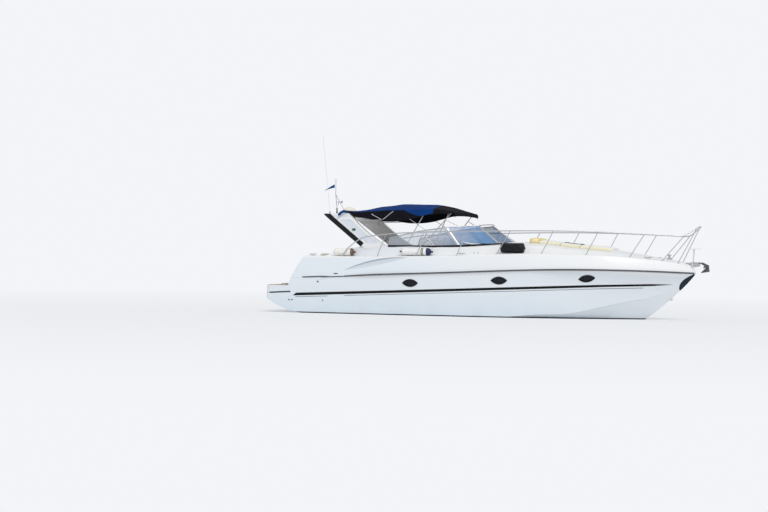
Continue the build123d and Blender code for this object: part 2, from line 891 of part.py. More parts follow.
def make_glass():
    """Panes of the windscreen: three each side and two in front."""
    panes = None
    for aft, fore in zip(SCREEN_POSTS, SCREEN_POSTS[1:]):
        corners = [
            (aft["base_x"], -aft["base_y"], aft["base_z"]),
            (fore["base_x"], -fore["base_y"], fore["base_z"]),
            (fore["top_x"], -fore["top_y"], fore["top_z"]),
            (aft["top_x"], -aft["top_y"], aft["top_z"]),
        ]
        pane = both_sides(Part() + slab(*corners, GLASS))
        panes = pane if panes is None else panes + pane
    last = SCREEN_POSTS[-1]
    base_x, base_z = SCREEN_FRONT_BASE
    top_x, top_z = SCREEN_FRONT_TOP
    rows = []
    for x_side, y_side, z_side, x_mid, z_mid in (
        (last["base_x"], last["base_y"], last["base_z"], base_x, base_z),
        (last["top_x"], last["top_y"], last["top_z"], top_x, top_z),
    ):
        in_side = x_side - GLASS
        in_mid = x_mid - GLASS
        outer = ThreePointArc((x_side, -y_side, z_side), (x_mid, 0, z_mid), (x_side, y_side, z_side))
        inner = ThreePointArc((in_side, y_side, z_side), (in_mid, 0, z_mid), (in_side, -y_side, z_side))
        ends = [
            Line((x_side, y_side, z_side), (in_side, y_side, z_side)),
            Line((in_side, -y_side, z_side), (x_side, -y_side, z_side)),
        ]
        rows.append(Wire([outer.edge(), ends[0].edge(), inner.edge(), ends[1].edge()]))
    front = Solid.make_loft(rows, ruled=True)
    return panes + front


def pillar_plate(post, neighbour):
    """Flat plate beside a post, over the edge of the pane towards its neighbour."""
    base = Vector(post["base_x"], -post["base_y"], post["base_z"])
    top = Vector(post["top_x"], -post["top_y"], post["top_z"])
    next_base = Vector(neighbour["base_x"], -neighbour["base_y"], neighbour["base_z"])
    next_top = Vector(neighbour["top_x"], -neighbour["top_y"], neighbour["top_z"])
    low = base + (next_base - base).normalized() * post["plate"]
    high = top + (next_top - top).normalized() * post["plate"]
    normal = (low - base).cross(top - base).normalized()
    if normal.Y > 0:
        normal = normal * -1
    proud = normal * PLATE_PROUD
    base_lift = (top - base).normalized() * PLATE_LIFT
    low_lift = (high - low).normalized() * PLATE_LIFT
    corners = [tuple(p + proud) for p in (base + base_lift, low + low_lift, high, top)]
    return Part() + slab(*corners, GLASS + 2 * PLATE_PROUD)


def make_screen_frame(glass):
    """Top bar, posts and wide pillars of the windscreen."""
    tops = [(p["top_x"], -p["top_y"], p["top_z"]) for p in SCREEN_POSTS]
    frame = Part()
    for start, end in zip(tops, tops[1:]):
        frame += rod(start, end, SCREEN_BAR)
        frame += Pos(*end) * Sphere(SCREEN_BAR)
    frame += Pos(*tops[0]) * Sphere(SCREEN_BAR)
    for post in SCREEN_POSTS:
        base = (post["base_x"], -post["base_y"], post["base_z"])
        top = (post["top_x"], -post["top_y"], post["top_z"])
        frame += rod(base, top, SCREEN_BAR)
    _, near, wide, last = SCREEN_POSTS
    for post, neighbour in ((wide, near), (wide, last), (last, wide)):
        frame += pillar_plate(post, neighbour)
    frame = both_sides(frame)
    top_x, top_z = SCREEN_FRONT_TOP
    base_x, base_z = SCREEN_FRONT_BASE
    arc = ThreePointArc(
        (last["top_x"], -last["top_y"], last["top_z"]),
        (top_x, 0, top_z),
        (last["top_x"], last["top_y"], last["top_z"]),
    )
    frame += sweep(Plane(arc @ 0, z_dir=arc % 0) * Circle(SCREEN_BAR), path=arc)
    frame += rod((base_x, 0, base_z), (top_x, 0, top_z), SCREEN_BAR)
    return frame - glass


def make_trim(deck, glass, frame):
    """Dark sill under the windscreen, on both sides and round the front."""
    rows = [(p["base_x"], p["base_y"], p["base_z"]) for p in SCREEN_POSTS]
    sill = Part()
    for start, end in zip(rows, rows[1:]):
        low = [(start[0], start[1] + TRIM_THICK, start[2]), (end[0], end[1] + TRIM_THICK, end[2])]
        corners = [
            Vector(start[0], start[1] + TRIM_THICK, start[2] - TRIM_TALL),
            Vector(start[0], start[1] - TRIM_THICK, start[2] - TRIM_TALL),
            Vector(start[0], start[1] - TRIM_THICK, start[2]),
            Vector(*low[0]),
        ]
        ends = [
            Vector(end[0], end[1] + TRIM_THICK, end[2] - TRIM_TALL),
            Vector(end[0], end[1] - TRIM_THICK, end[2] - TRIM_TALL),
            Vector(end[0], end[1] - TRIM_THICK, end[2]),
            Vector(*low[1]),
        ]
        piece = Solid.make_loft([Wire.make_polygon(corners), Wire.make_polygon(ends)], ruled=True)
        sill += piece
    sill = both_sides(sill)
    last = SCREEN_POSTS[-1]
    base_x, base_z = SCREEN_FRONT_BASE
    arc = ThreePointArc(
        (last["base_x"], -last["base_y"], last["base_z"] - TRIM_TALL / 2),
        (base_x, 0, base_z - TRIM_TALL / 2),
        (last["base_x"], last["base_y"], last["base_z"] - TRIM_TALL / 2),
    )
    start = Plane(arc @ 0, x_dir=(0, 0, 1), z_dir=arc % 0)
    sill += sweep(start * Rectangle(TRIM_TALL, TRIM_THICK * 2), path=arc)
    sill -= deck
    sill -= frame
    sill -= glass
    return sill


def canopy_row(x):
    """The canopy's section at any x, on straight lines between its stations."""
    rows = CANOPY_STATIONS
    for low, high in zip(rows, rows[1:]):
        if x <= high["x"] or high is rows[-1]:
            part = (x - low["x"]) / (high["x"] - low["x"])
            return {name: low[name] + part * (high[name] - low[name]) for name in low}


def flank_y(x, z):
    """Half breadth of the canopy's flank at a height."""
    row = canopy_row(x)
    share = (z - row["edge_z"]) / (row["shoulder_z"] - row["edge_z"])
    return row["half_y"] + share * (row["shoulder_y"] - row["half_y"])


def make_canopy():
    """Canopy cloth as a thin sheet: a crowned top and a steep flank on each side."""
    rows = []
    for row in CANOPY_STATIONS:
        x = row["x"]
        edge = (row["half_y"], row["edge_z"])
        shoulder = (row["shoulder_y"], row["shoulder_z"])
        in_edge = (edge[0] - CLOTH, edge[1])
        in_shoulder = (shoulder[0] - CLOTH * 0.8, shoulder[1] - CLOTH)
        top = ThreePointArc((x, *shoulder), (x, 0, row["crown_z"]), (x, -shoulder[0], shoulder[1]))
        under = ThreePointArc(
            (x, -in_shoulder[0], in_shoulder[1]), (x, 0, row["crown_z"] - CLOTH), (x, *in_shoulder)
        )
        lines = [
            Line((x, *edge), (x, *shoulder)),
            top,
            Line((x, -shoulder[0], shoulder[1]), (x, -edge[0], edge[1])),
            Line((x, -edge[0], edge[1]), (x, -in_edge[0], in_edge[1])),
            Line((x, -in_edge[0], in_edge[1]), (x, -in_shoulder[0], in_shoulder[1])),
            under,
            Line((x, *in_shoulder), (x, *in_edge)),
            Line((x, *in_edge), (x, *edge)),
        ]
        rows.append(Face(Wire([line.edge() for line in lines])))
    return loft(rows)


def rail_points(deck_faces):
    """Centreline of the port guard rail from its foot to the pulpit."""
    foot_z = height_on(deck_faces, RAIL_START_X, RAIL_START_Y)
    points = [(RAIL_START_X, RAIL_START_Y, foot_z)]
    points += [(p["x"], p["y"], p["z"]) for p in RAIL_START]
    points += [(p["top_x"], p["top_y"], p["top_z"]) for p in RAIL_POSTS]
    points += [(p["x"], p["y"], p["z"]) for p in PULPIT_POINTS]
    points += [(p["x"], -p["y"], p["z"]) for p in reversed(PULPIT_POINTS)]
    return points


def bend_radii(points):
    """Arc radius at each inner corner, as large as its two runs allow."""
    radii = []
    for before, at, after in zip(points, points[1:], points[2:]):
        a = Vector(*at) - Vector(*before)
        b = Vector(*after) - Vector(*at)
        half_turn = math.radians(a.get_angle(b)) / 2
        radii.append(0.45 * min(a.length, b.length) / math.tan(half_turn))
    return radii


def make_rail(deck_faces):
    """Port guard rail with its stanchions and their feet."""
    points = rail_points(deck_faces)
    radii = bend_radii(points)
    rail = tube(points, radii, RAIL_R)
    rail -= block(0, FAR, -FAR / 3, 0, 0, FAR / 3)
    foot_x, foot_y, foot_z = points[0]
    rail += Pos(foot_x, foot_y, foot_z + FOOT_TALL / 2) * Cylinder(FOOT_R, FOOT_TALL)
    for post in RAIL_POSTS:
        z = height_on(deck_faces, post["base_x"], post["base_y"])
        base = (post["base_x"], post["base_y"], z)
        rail += rod(base, (post["top_x"], post["top_y"], post["top_z"]), POST_R)
        rail += Pos(base[0], base[1], z + FOOT_TALL / 2) * Cylinder(FOOT_R, FOOT_TALL)
    for leg in PULPIT_LEGS:
        z = height_on(deck_faces, leg["base_x"], leg["base_y"])
        base = (leg["base_x"], leg["base_y"], z)
        rail += rod(base, (leg["top_x"], leg["top_y"], leg["top_z"]), POST_R)
        rail += Pos(base[0], base[1], z + FOOT_TALL / 2) * Cylinder(FOOT_R, FOOT_TALL)
    return rail


def make_bow_step(deck):
    """Step over the stem head, on two posts."""
    x0, x1 = STEP_X
    plate = rounded_block(x0, x1, -STEP_Y, STEP_Y, STEP_Z - STEP_THICK, STEP_Z, 40)
    for y in (-STEP_POST_Y, STEP_POST_Y):
        head = (STEP_POST_X + 50, y, STEP_Z - STEP_THICK / 2)
        plate += rod((STEP_POST_X, y, STEP_POST_LOW), head, POST_R)
    return plate - deck


def almond(long, tall):
    """Pointed oval: two arcs that meet in a point at each end."""
    half = long / 2
    top = ThreePointArc((-half, 0), (0, tall / 2), (half, 0))
    bottom = ThreePointArc((half, 0), (0, -tall / 2), (-half, 0))
    return make_face(Curve() + [top, bottom])


def port_plane(skin_faces, port):
    """Plane of one port, on the topside to port, facing outward."""
    point, normal = breadth_on(skin_faces, port["x"], port["z"])
    forward = Vector(1, 0, 0) - normal * normal.X
    return Plane(point, x_dir=forward.normalized(), z_dir=normal)


def port_pockets(skin_faces):
    """Recess cut in the topside for each port."""
    cuts = Part()
    for port in PORTS:
        plane = port_plane(skin_faces, port)
        cuts += extrude(plane.offset(-PORT_DEEP) * almond(PORT_LONG, PORT_TALL), PORT_DEEP + 100)
    return both_sides(cuts)


def make_port_rims(skin_faces):
    """Metal rims round the ports, standing a little proud of the topside."""
    ring = almond(PORT_LONG, PORT_TALL) - almond(PORT_LONG - 2 * PORT_RIM, PORT_TALL - 2 * PORT_RIM)
    rims = Part()
    for port in PORTS:
        plane = port_plane(skin_faces, port)
        rims += extrude(plane.offset(-PORT_DEEP) * ring, PORT_DEEP + PORT_PROUD)
    return both_sides(rims)


def make_port_glass(skin_faces):
    """Dark panes inside the rims."""
    panes = Part()
    for port in PORTS:
        plane = port_plane(skin_faces, port)
        pane = almond(PORT_LONG - 2 * PORT_RIM, PORT_TALL - 2 * PORT_RIM)
        panes += extrude(plane.offset(-PORT_DEEP) * pane, PORT_DEEP - PORT_SUNK)
    return both_sides(panes)


def shaft_line(start_share, end_share, radius):
    """Round bar along the shaft's line, between two shares of its length."""
    aft = Vector(SHAFT_AFT[0], SHAFT_Y, SHAFT_AFT[1])
    run = Vector(SHAFT_FORE[0], SHAFT_Y, SHAFT_FORE[1]) - aft
    return rod(aft + run * start_share, aft + run * end_share, radius)


def make_propeller():
    """Port propeller: hub and blades, ahead of the shaft's aft end."""
    aft = Vector(SHAFT_AFT[0], SHAFT_Y, SHAFT_AFT[1])
    fore = Vector(SHAFT_FORE[0], SHAFT_Y, SHAFT_FORE[1])
    line = Plane(aft, x_dir=(0, 1, 0), z_dir=fore - aft)
    wheel = Part() + line * (Pos(0, 0, PROP_HUB / 2) * Cylinder(PROP_HUB_R, PROP_HUB))
    for i in range(PROP_BLADES):
        root = Pos(0, 0, PROP_HUB / 2) * Rot(0, 0, i * 360 / PROP_BLADES)
        rows = []
        for share, chord, pitch in ((0.18, 110, 55), (0.6, 230, 38), (0.98, 90, 26)):
            r = PROP_R * share
            blade_plane = Plane((r, 0, 0), x_dir=(0, 1, 0), z_dir=(1, 0, 0))
            rows.append(blade_plane * Rot(0, 0, pitch) * almond(chord, 18))
        wheel += line * root * loft(rows)
    return wheel - shaft_line(-0.1, 0.2, SHAFT_R)


def bottom_z(skin_faces, x, y):
    """Height of the hull's underside over a point of the plan."""
    line = Axis((x, y, -FAR), (0, 0, 1))
    return min(hit[0].Z for face in skin_faces for hit in face.find_intersection_points(line))


def make_bracket(skin_faces, hull):
    """Bracket that carries the port shaft ahead of its propeller."""
    share = (BRACKET_X - SHAFT_AFT[0]) / (SHAFT_FORE[0] - SHAFT_AFT[0])
    run = math.hypot(SHAFT_FORE[0] - SHAFT_AFT[0], SHAFT_FORE[1] - SHAFT_AFT[1])
    half = BRACKET_LONG / 2 / run
    barrel = shaft_line(share - half, share + half, BRACKET_R)
    shaft_z = SHAFT_AFT[1] + share * (SHAFT_FORE[1] - SHAFT_AFT[1])
    head_z = bottom_z(skin_faces, BRACKET_X, SHAFT_Y) + 60
    arm = block(BRACKET_X - 45, BRACKET_X + 45, SHAFT_Y - 9, SHAFT_Y + 9, shaft_z, head_z)
    bracket = barrel + arm
    bracket -= shaft_line(0, 1, SHAFT_R + BEARING_CLEAR)
    return bracket - hull


def make_rudder(skin_faces):
    """Port rudder: blade and stock."""
    top_z = bottom_z(skin_faces, RUDDER_X, RUDDER_Y) - RUDDER_GAP - 60
    low_z = top_z - RUDDER_TALL
    outline = Polyline(
        (RUDDER_X + RUDDER_CHORD * 0.35, top_z - 25),
        (RUDDER_X - RUDDER_CHORD * 0.65, top_z - 25),
        (RUDDER_X - RUDDER_CHORD * 0.55, low_z),
        (RUDDER_X + RUDDER_CHORD * 0.25, low_z),
        close=True,
    )
    half = RUDDER_THICK / 2
    blade = across(Plane.XZ * make_face(outline), RUDDER_Y - half, RUDDER_Y + half)
    stock = rod((RUDDER_X, RUDDER_Y, top_z - 200), (RUDDER_X, RUDDER_Y, top_z + 60 + STOCK_UP), STOCK_R)
    return blade + stock


def stock_bore(skin_faces):
    """Hole in the hull for the port rudder's stock."""
    z = bottom_z(skin_faces, RUDDER_X, RUDDER_Y)
    return rod((RUDDER_X, RUDDER_Y, z - 100), (RUDDER_X, RUDDER_Y, z + STOCK_UP), STOCK_R + BEARING_CLEAR)


def make_tab(skin_faces):
    """Port trim tab, hung on the foot of the transom."""
    low_z = bottom_z(skin_faces, UNDER_X + 20, TAB_Y0)
    high_z = bottom_z(skin_faces, UNDER_X + 20, TAB_Y1)
    outline = Polyline(
        (TAB_Y0, low_z), (TAB_Y1, high_z),
        (TAB_Y1, high_z + TAB_THICK), (TAB_Y0, low_z + TAB_THICK),
        close=True,
    )
    plate = extrude(Plane.YZ * make_face(outline), -TAB_LONG)
    pin = rod(
        (0, TAB_Y0 + 40, low_z + TAB_THICK / 2 + 40 * (high_z - low_z) / (TAB_Y1 - TAB_Y0)),
        (0, TAB_Y1 - 40, high_z + TAB_THICK / 2 - 40 * (high_z - low_z) / (TAB_Y1 - TAB_Y0)),
        TAB_GAP - SEAT_GAP,
    )
    return Pos(UNDER_X - TAB_GAP, 0, 0) * (plate + pin)


def plan_prism(x0, x1, half_y, radius):
    """Upright prism over a rounded rectangle of the plan."""
    return rounded_block(x0, x1, -half_y, half_y, 0, FAR / 2, radius)


def crowned_plate(prism, skin, low, high):
    """Plate that follows the deck's crown, between two heights over it."""
    return (prism & (Pos(0, 0, high) * skin)) - Pos(0, 0, low) * skin


def locker_pocket(skin):
    """Anchor locker in the foredeck, with the ledge for its lid."""
    mouth = plan_prism(LOCKER_X0, LOCKER_X1, LOCKER_Y, 40)
    inner = plan_prism(LOCKER_X0 + LEDGE / 2, LOCKER_X1 - LEDGE / 2, LOCKER_Y - LEDGE / 2, 30)
    rim = mouth - Pos(0, 0, -PANEL - SEAT_GAP) * skin
    deep = inner - Pos(0, 0, -LOCKER_DEEP) * skin
    return rim + deep


def make_locker_lid(skin):
    """Lid of the anchor locker, flush with the deck."""
    prism = plan_prism(LOCKER_X0 + LID_GAP, LOCKER_X1 - LID_GAP, LOCKER_Y - LID_GAP, 36)
    return crowned_plate(prism, skin, -PANEL, 0)


def make_hatch_coaming(skin):
    """Raised frame of the deck hatch."""
    outer = plan_prism(DECK_HATCH_X0, DECK_HATCH_X1, DECK_HATCH_Y, 60)
    inset = DECK_HATCH_FRAME
    inner = plan_prism(DECK_HATCH_X0 + inset, DECK_HATCH_X1 - inset, DECK_HATCH_Y - inset, 30)
    return crowned_plate(outer - inner, skin, 0, DECK_HATCH_TALL)


def make_deck_hatch(skin):
    """Lid of the deck hatch, on top of its frame."""
    prism = plan_prism(DECK_HATCH_X0, DECK_HATCH_X1, DECK_HATCH_Y, 60)
    low = DECK_HATCH_TALL + SEAT_GAP
    return crowned_plate(prism, skin, low, low + DECK_HATCH_LID)


def hatch_hole():
    """Way through the deck under the deck hatch."""
    inset = DECK_HATCH_FRAME
    return plan_prism(DECK_HATCH_X0 + inset, DECK_HATCH_X1 - inset, DECK_HATCH_Y - inset, 30)


def make_sun_pad(skin):
    """Padded mattress on the foredeck with a bolster at its aft end."""
    prism = plan_prism(PAD_X0, PAD_X1, PAD_Y, PAD_CORNER)
    inset = PAD_CLEAR
    prism -= plan_prism(DECK_HATCH_X0 - inset, DECK_HATCH_X1 + inset, DECK_HATCH_Y + inset, 60)
    pad = crowned_plate(prism, skin, SEAT_GAP, PAD_TALL)
    head = plan_prism(PAD_X0, PAD_X0 + BOLSTER_LONG, PAD_Y, BOLSTER_LONG / 2 - 10)
    return pad + crowned_plate(head, skin, SEAT_GAP, PAD_TALL + BOLSTER_TALL)


def make_console():
    """Helm console with its dash, cowl and steering column, and the shelf to port."""
    console = across(side_polygon(*[(p["x"], p["z"]) for p in CONSOLE_SIDE]), CONSOLE_Y0, CONSOLE_Y1)
    shelf = across(side_polygon(*[(p["x"], p["z"]) for p in SHELF_SIDE]), SHELF_Y0, WELL_Y)
    column = Pos(0, 0, -WHEEL_HUB_LONG - SEAT_GAP - COLUMN_LONG / 2) * Cylinder(COLUMN_R, COLUMN_LONG)
    return ((console + shelf) & well_space(SEAT_GAP)) + wheel_plane() * column


def wheel_plane():
    """Plane of the steering wheel; its z points at the helmsman."""
    tilt = math.radians(WHEEL_TILT)
    facing = (-math.cos(tilt), 0, math.sin(tilt))
    return Plane((WHEEL_X, WHEEL_Y, WHEEL_Z), x_dir=(0, 1, 0), z_dir=facing)


def make_wheel():
    """Steering wheel with three spokes and its hub."""
    ring = Torus(WHEEL_R - WHEEL_RIM_R, WHEEL_RIM_R)
    wheel = Part() + ring
    for i in range(3):
        spoke = Box(WHEEL_R - 2 * WHEEL_RIM_R, SPOKE_WIDE, SPOKE_THICK)
        wheel += Rot(0, 0, 90 + 120 * i) * Pos(WHEEL_R / 2 - 5, 0, -SPOKE_THICK) * spoke
    hub = Pos(0, 0, -WHEEL_HUB_LONG / 2) * Cylinder(WHEEL_HUB_R, WHEEL_HUB_LONG)
    return wheel_plane() * (wheel + hub)


def make_seat_base(x0, x1, y0, y1, top_z):
    """Moulded seat base with rounded upright edges."""
    base = block(x0, x1, y0, y1, SOLE_Z, top_z)
    return fillet(base.edges().filter_by(Axis.Z), SEAT_BASE_ROUND)


def make_cushion(x0, x1, y0, y1, z0, z1):
    """Seat or back cushion with rounded corners."""
    return fillet(block(x0, x1, y0, y1, z0, z1).edges(), CUSHION_ROUND)


def make_seat_bases():
    """Moulded bases of the helm seat, the aft settee and the port lounge."""
    x0, x1, y0, y1 = HELM_SEAT
    helm = make_seat_base(x0, x1, y0, y1, HELM_SEAT_Z)
    aft = make_seat_base(WELL_AFT_X, SETTEE_FORE_X, -WELL_Y, SETTEE_Y1, SETTEE_Z)
    x0, x1, y0, y1 = LOUNGE
    side = make_seat_base(x0, x1, y0, y1, SETTEE_Z)
    return helm + (aft & well_space(FLESH)) + side


def make_cushions():
    """Seats and backs of the helm seat, the aft settee and the port lounge."""
    x0, x1, y0, y1 = HELM_SEAT
    seat_z = HELM_SEAT_Z + SEAT_GAP
    pads = make_cushion(x0 + BACK_THICK + FLESH, x1, y0, y1, seat_z, seat_z + CUSHION)
    pads += make_cushion(x0, x0 + BACK_THICK, y0, y1, seat_z, HELM_BACK_Z)
    seat_z = SETTEE_Z + SEAT_GAP
    back_x = WELL_AFT_X + 2 * FLESH
    seat_x = back_x + BACK_THICK + FLESH
    seat_y = FLESH + WELL_CORNER * 0.3 - WELL_Y
    back_y = WELL_CORNER - WELL_Y
    pads += make_cushion(seat_x, SETTEE_FORE_X, seat_y, SETTEE_Y1, seat_z, seat_z + CUSHION)
    pads += make_cushion(back_x, back_x + BACK_THICK, back_y, SETTEE_Y1, seat_z, SETTEE_BACK_Z)
    x0, x1, y0, y1 = LOUNGE
    pads += make_cushion(x0, x1, y0, y1 - BACK_THICK - FLESH, seat_z, seat_z + CUSHION)
    pads += make_cushion(x0, x1, y1 - BACK_THICK, y1, seat_z, SETTEE_BACK_Z)
    return pads


def make_bar():
    """Wet bar with its basin."""
    x0, x1, y0, y1 = BAR
    cabinet = rounded_block(x0, x1, y0, y1, SOLE_Z, BAR_Z, 40)
    centre_x = (x0 + x1) / 2
    centre_y = (y0 + y1) / 2
    basin = rounded_block(
        centre_x - BASIN / 2, centre_x + BASIN / 2, centre_y - BASIN / 2, centre_y + BASIN / 2,
        BAR_Z - BASIN_DEEP, BAR_Z + 10, 50,
    )
    return cabinet - basin


def make_bar_lid():
    """Lid over the wet bar, hinged outboard."""
    x0, x1, y0, y1 = BAR
    return rounded_block(x0, x1, y0, y1, BAR_Z + SEAT_GAP, BAR_Z + SEAT_GAP + BAR_LID, 40)


def make_cabin_fitout(space):
    """Cabin sole, side berths and the berth in the bow."""
    sole = space & block(CABIN_AFT_X, CABIN_FORE_X, -FAR / 3, FAR / 3, -FAR / 3, CABIN_SOLE_Z)
    sides = space & block(*BERTH_X, BERTH_Y, FAR / 3, -FAR / 3, BERTH_Z)
    bow = space & block(BERTH_X[1], CABIN_FORE_X, -FAR / 3, FAR / 3, -FAR / 3, BOW_BERTH_Z)
    return sole + both_sides(sides) + bow


def make_radome():
    """Radar dome on its foot."""
    top_z = ARCH_TOP_Z + SEAT_GAP
    low = top_z + RADOME_FOOT
    brim = low + RADOME_PAN
    foot = Pos(0, 0, top_z + RADOME_FOOT / 2) * Cylinder(RADOME_R * 0.45, RADOME_FOOT)
    pan = Pos(0, 0, (low + brim) / 2) * Cone(RADOME_R - 25, RADOME_R, brim - low)
    rise = RADOME_TALL - RADOME_PAN
    ball_r = (RADOME_R**2 + rise**2) / (2 * rise)
    cap = Pos(0, 0, brim + rise - ball_r) * Sphere(ball_r)
    cap &= block(-RADOME_R * 2, RADOME_R * 2, -RADOME_R * 2, RADOME_R * 2, brim, brim + rise + 10)
    return Pos(RADOME_X, 0, 0) * (foot + pan + cap)


def make_light_mast():
    """Stainless frame and pole that carry the anchor light."""
    top_z = ARCH_TOP_Z + SEAT_GAP
    apex = (MAST_APEX[0], MAST_Y, MAST_APEX[1])
    mast = Part()
    for x in MAST_FEET_X:
        mast += rod((x, MAST_Y, top_z), apex, MAST_R)
        mast += Pos(x, MAST_Y, top_z + 4) * Cylinder(28, 8)
    mast += Pos(*apex) * Sphere(MAST_R)
    mast += rod(apex, (MAST_APEX[0], MAST_Y, MAST_HEAD_Z), MAST_R * 0.8)
    return mast - block(-FAR, FAR, -FAR, FAR, 0, top_z) + make_whip_foot()


def make_anchor_light():
    """All-round white light on the pole."""
    middle_z = MAST_HEAD_Z + MAST_LIGHT_TALL / 2
    return Pos(MAST_APEX[0], MAST_Y, middle_z) * Cylinder(MAST_LIGHT_R, MAST_LIGHT_TALL)


def whip_axis():
    """Foot and direction of the whip aerial."""
    foot = Vector(WHIP_X, WHIP_Y, ARCH_TOP_Z + SEAT_GAP + WHIP_FOOT_TALL)
    lean = math.radians(WHIP_LEAN)
    return foot, Vector(-math.sin(lean), 0, math.cos(lean))


def make_whip():
    """Whip aerial in its folding foot."""
    foot, along = whip_axis()
    return rod(foot + along * WHIP_R, foot + along * WHIP_LONG, WHIP_R) + Pos(*foot) * Sphere(WHIP_BALL_R)


def make_whip_foot():
    """Fixed foot of the whip aerial."""
    foot, _ = whip_axis()
    base_z = ARCH_TOP_Z + SEAT_GAP
    head_z = foot.Z - WHIP_FOOT_LOW
    socket = Pos(foot.X, foot.Y, (base_z + head_z) / 2) * Cylinder(WHIP_FOOT_R, head_z - base_z)
    return socket - Pos(*foot) * Sphere(WHIP_BALL_R + SEAT_GAP)


def make_roll():
    """Rolled curtain of canopy cloth lashed along the arch."""
    z = ARCH_TOP_Z + SEAT_GAP + ROLL_R + SEAT_GAP
    return rod((ROLL_X, -ROLL_Y, z), (ROLL_X, ROLL_Y, z), ROLL_R)


def make_bow_roller(deck):
    """Anchor roller between its two cheeks at the stem head."""
    outline = Polyline(
        (ROLLER_X0, ROLLER_Z - 90), (ROLLER_X1 - 60, ROLLER_Z - 60), (ROLLER_X1, ROLLER_Z - 30),
        (ROLLER_X1, ROLLER_Z + 20), (ROLLER_X1 - 50, ROLLER_Z + 60), (ROLLER_X0, ROLLER_Z + 60), close=True,
    )
    cheek = across(Plane.XZ * make_face(outline), ROLLER_Y, ROLLER_Y + CHEEK)
    floor = block(ROLLER_X0, ROLLER_X1 - 120, -ROLLER_Y, ROLLER_Y, ROLLER_Z - 72, ROLLER_Z - 72 + CHEEK)
    wheel = rod((ROLLER_X1 - 50, -ROLLER_Y, ROLLER_Z), (ROLLER_X1 - 50, ROLLER_Y, ROLLER_Z), ROLLER_R)
    return both_sides(cheek) + floor + wheel - deck


def make_anchor(roller):
    """Plough anchor drawn up on the roller."""
    z = ROLLER_Z + ROLLER_R + 14
    x = ROLLER_X1
    outline = Polyline(
        (ROLLER_X0 + 260, z - 13), (x + 20, z - 13), (x + 120, z - 75), (x + 95, z - 150),
        (x + 250, z - 110), (x + 270, z - 60), (x + 90, z + 24), (ROLLER_X0 + 260, z + 24), close=True,
    )
    arm = across(Plane.XZ * make_face(outline), -9, 9)
    share = Part()
    for side in (1, -1):
        corners = [
            Vector(x + 270, -side * 4, z - 60),
            Vector(x + 266, side * 150, z - 250),
            Vector(x + 40, -side * 4, z - 290),
        ]
        inner = [p + Vector(-14, 0, 12) for p in corners]
        share += Solid.make_loft([Wire.make_polygon(corners), Wire.make_polygon(inner)], ruled=True)
    return (arm + share) - roller


def make_windlass(deck_faces):
    """Anchor windlass: foot, body and drum."""
    z = height_on(deck_faces, WINDLASS_X, 0) - 12
    body = Pos(WINDLASS_X, 0, z + 25) * Cylinder(WINDLASS_R + 25, 50)
    body += Pos(WINDLASS_X, 0, z + 50 + 30) * Cylinder(WINDLASS_R * 0.6, 60)
    body += Pos(WINDLASS_X, 0, z + WINDLASS_TALL - 20) * Cylinder(WINDLASS_R, 40)
    return body


def make_cleats(deck_faces, deck):
    """Horned cleats along both side decks."""
    cleats = Part()
    for cleat in CLEATS:
        z = height_on(deck_faces, cleat["x"], cleat["y"])
        place = Pos(cleat["x"], cleat["y"], z)
        bar = rod((-CLEAT_LONG / 2, 0, CLEAT_TALL), (CLEAT_LONG / 2, 0, CLEAT_TALL), CLEAT_R)
        for x in (-35, 35):
            bar += rod((x, 0, -25), (x, 0, CLEAT_TALL), CLEAT_R)
        cleats += place * bar
    return both_sides(cleats - deck)


def stem_x(skin_faces, z):
    """Foremost point of the stem at a height."""
    line = Axis((FAR, 0, z), (-1, 0, 0))
    return max(hit[0].X for face in skin_faces for hit in face.find_intersection_points(line))


def make_bow_eye(skin_faces, hull):
    """Towing eye on the stem: a plate with a hole across the boat."""
    x = stem_x(skin_faces, EYE_Z)
    plate = Plane.XZ * (Pos(x + EYE_OUT - 35, EYE_Z) * Circle(35) + Pos(x - 20, EYE_Z) * Rectangle(90, 60))
    eye = across(plate, -EYE_PLATE / 2, EYE_PLATE / 2)
    eye -= rod((x + EYE_OUT - 35, -50, EYE_Z), (x + EYE_OUT - 35, 50, EYE_Z), EYE_R)
    return eye - hull


def make_stern_eye():
    """Port mooring eye on the platform's aft edge."""
    x = PLATFORM_AFT_X
    ring_r = EYE_R + 18
    foot = Pos(x - ring_r / 2, STERN_EYE_Y) * Rectangle(ring_r, 2 * ring_r)
    shape = foot + Pos(x - ring_r, STERN_EYE_Y) * Circle(ring_r)
    shape -= Pos(x - ring_r, STERN_EYE_Y) * Circle(EYE_R)
    return Pos(0, 0, STERN_EYE_Z) * extrude(shape, EYE_PLATE)


def make_stem_guard(skin, hull):
    """Dark plate that guards the stem from the anchor."""
    low = (GUARD_X0, GUARD_Z0)
    high = (GUARD_X1, GUARD_Z1)
    outline = Curve() + [
        Polyline(low, (SHEER_TIP_X, GUARD_Z0), (SHEER_TIP_X, GUARD_Z1), high),
        ThreePointArc(high, GUARD_MIDDLE, low),
    ]
    zone = across(Plane.XZ * make_face(outline), -FAR / 3, FAR / 3)
    return ((Pos(GUARD_THICK, 0, 0) * skin) & zone) - skin - hull


def make_ladder():
    """Bathing ladder folded forward on the platform."""
    x = PLATFORM_AFT_X - LADDER_OUT
    z = PLATFORM_TOP_Z + TEAK + LADDER_R + SEAT_GAP
    ladder = Part()
    for side in (-1, 1):
        ladder += rod((x, side * LADDER_HALF, z), (x + LADDER_LONG, side * LADDER_HALF, z), LADDER_R)
    for i in range(LADDER_TREADS):
        tread_x = x + LADDER_LONG * (i + 0.9) / LADDER_TREADS - 60
        ladder += block(tread_x, tread_x + 50, -LADDER_HALF, LADDER_HALF, z - LADDER_R, z + 5)
    pin = rod((x, -LADDER_HALF - 30, z), (x, LADDER_HALF + 30, z), 8)
    return ladder + pin


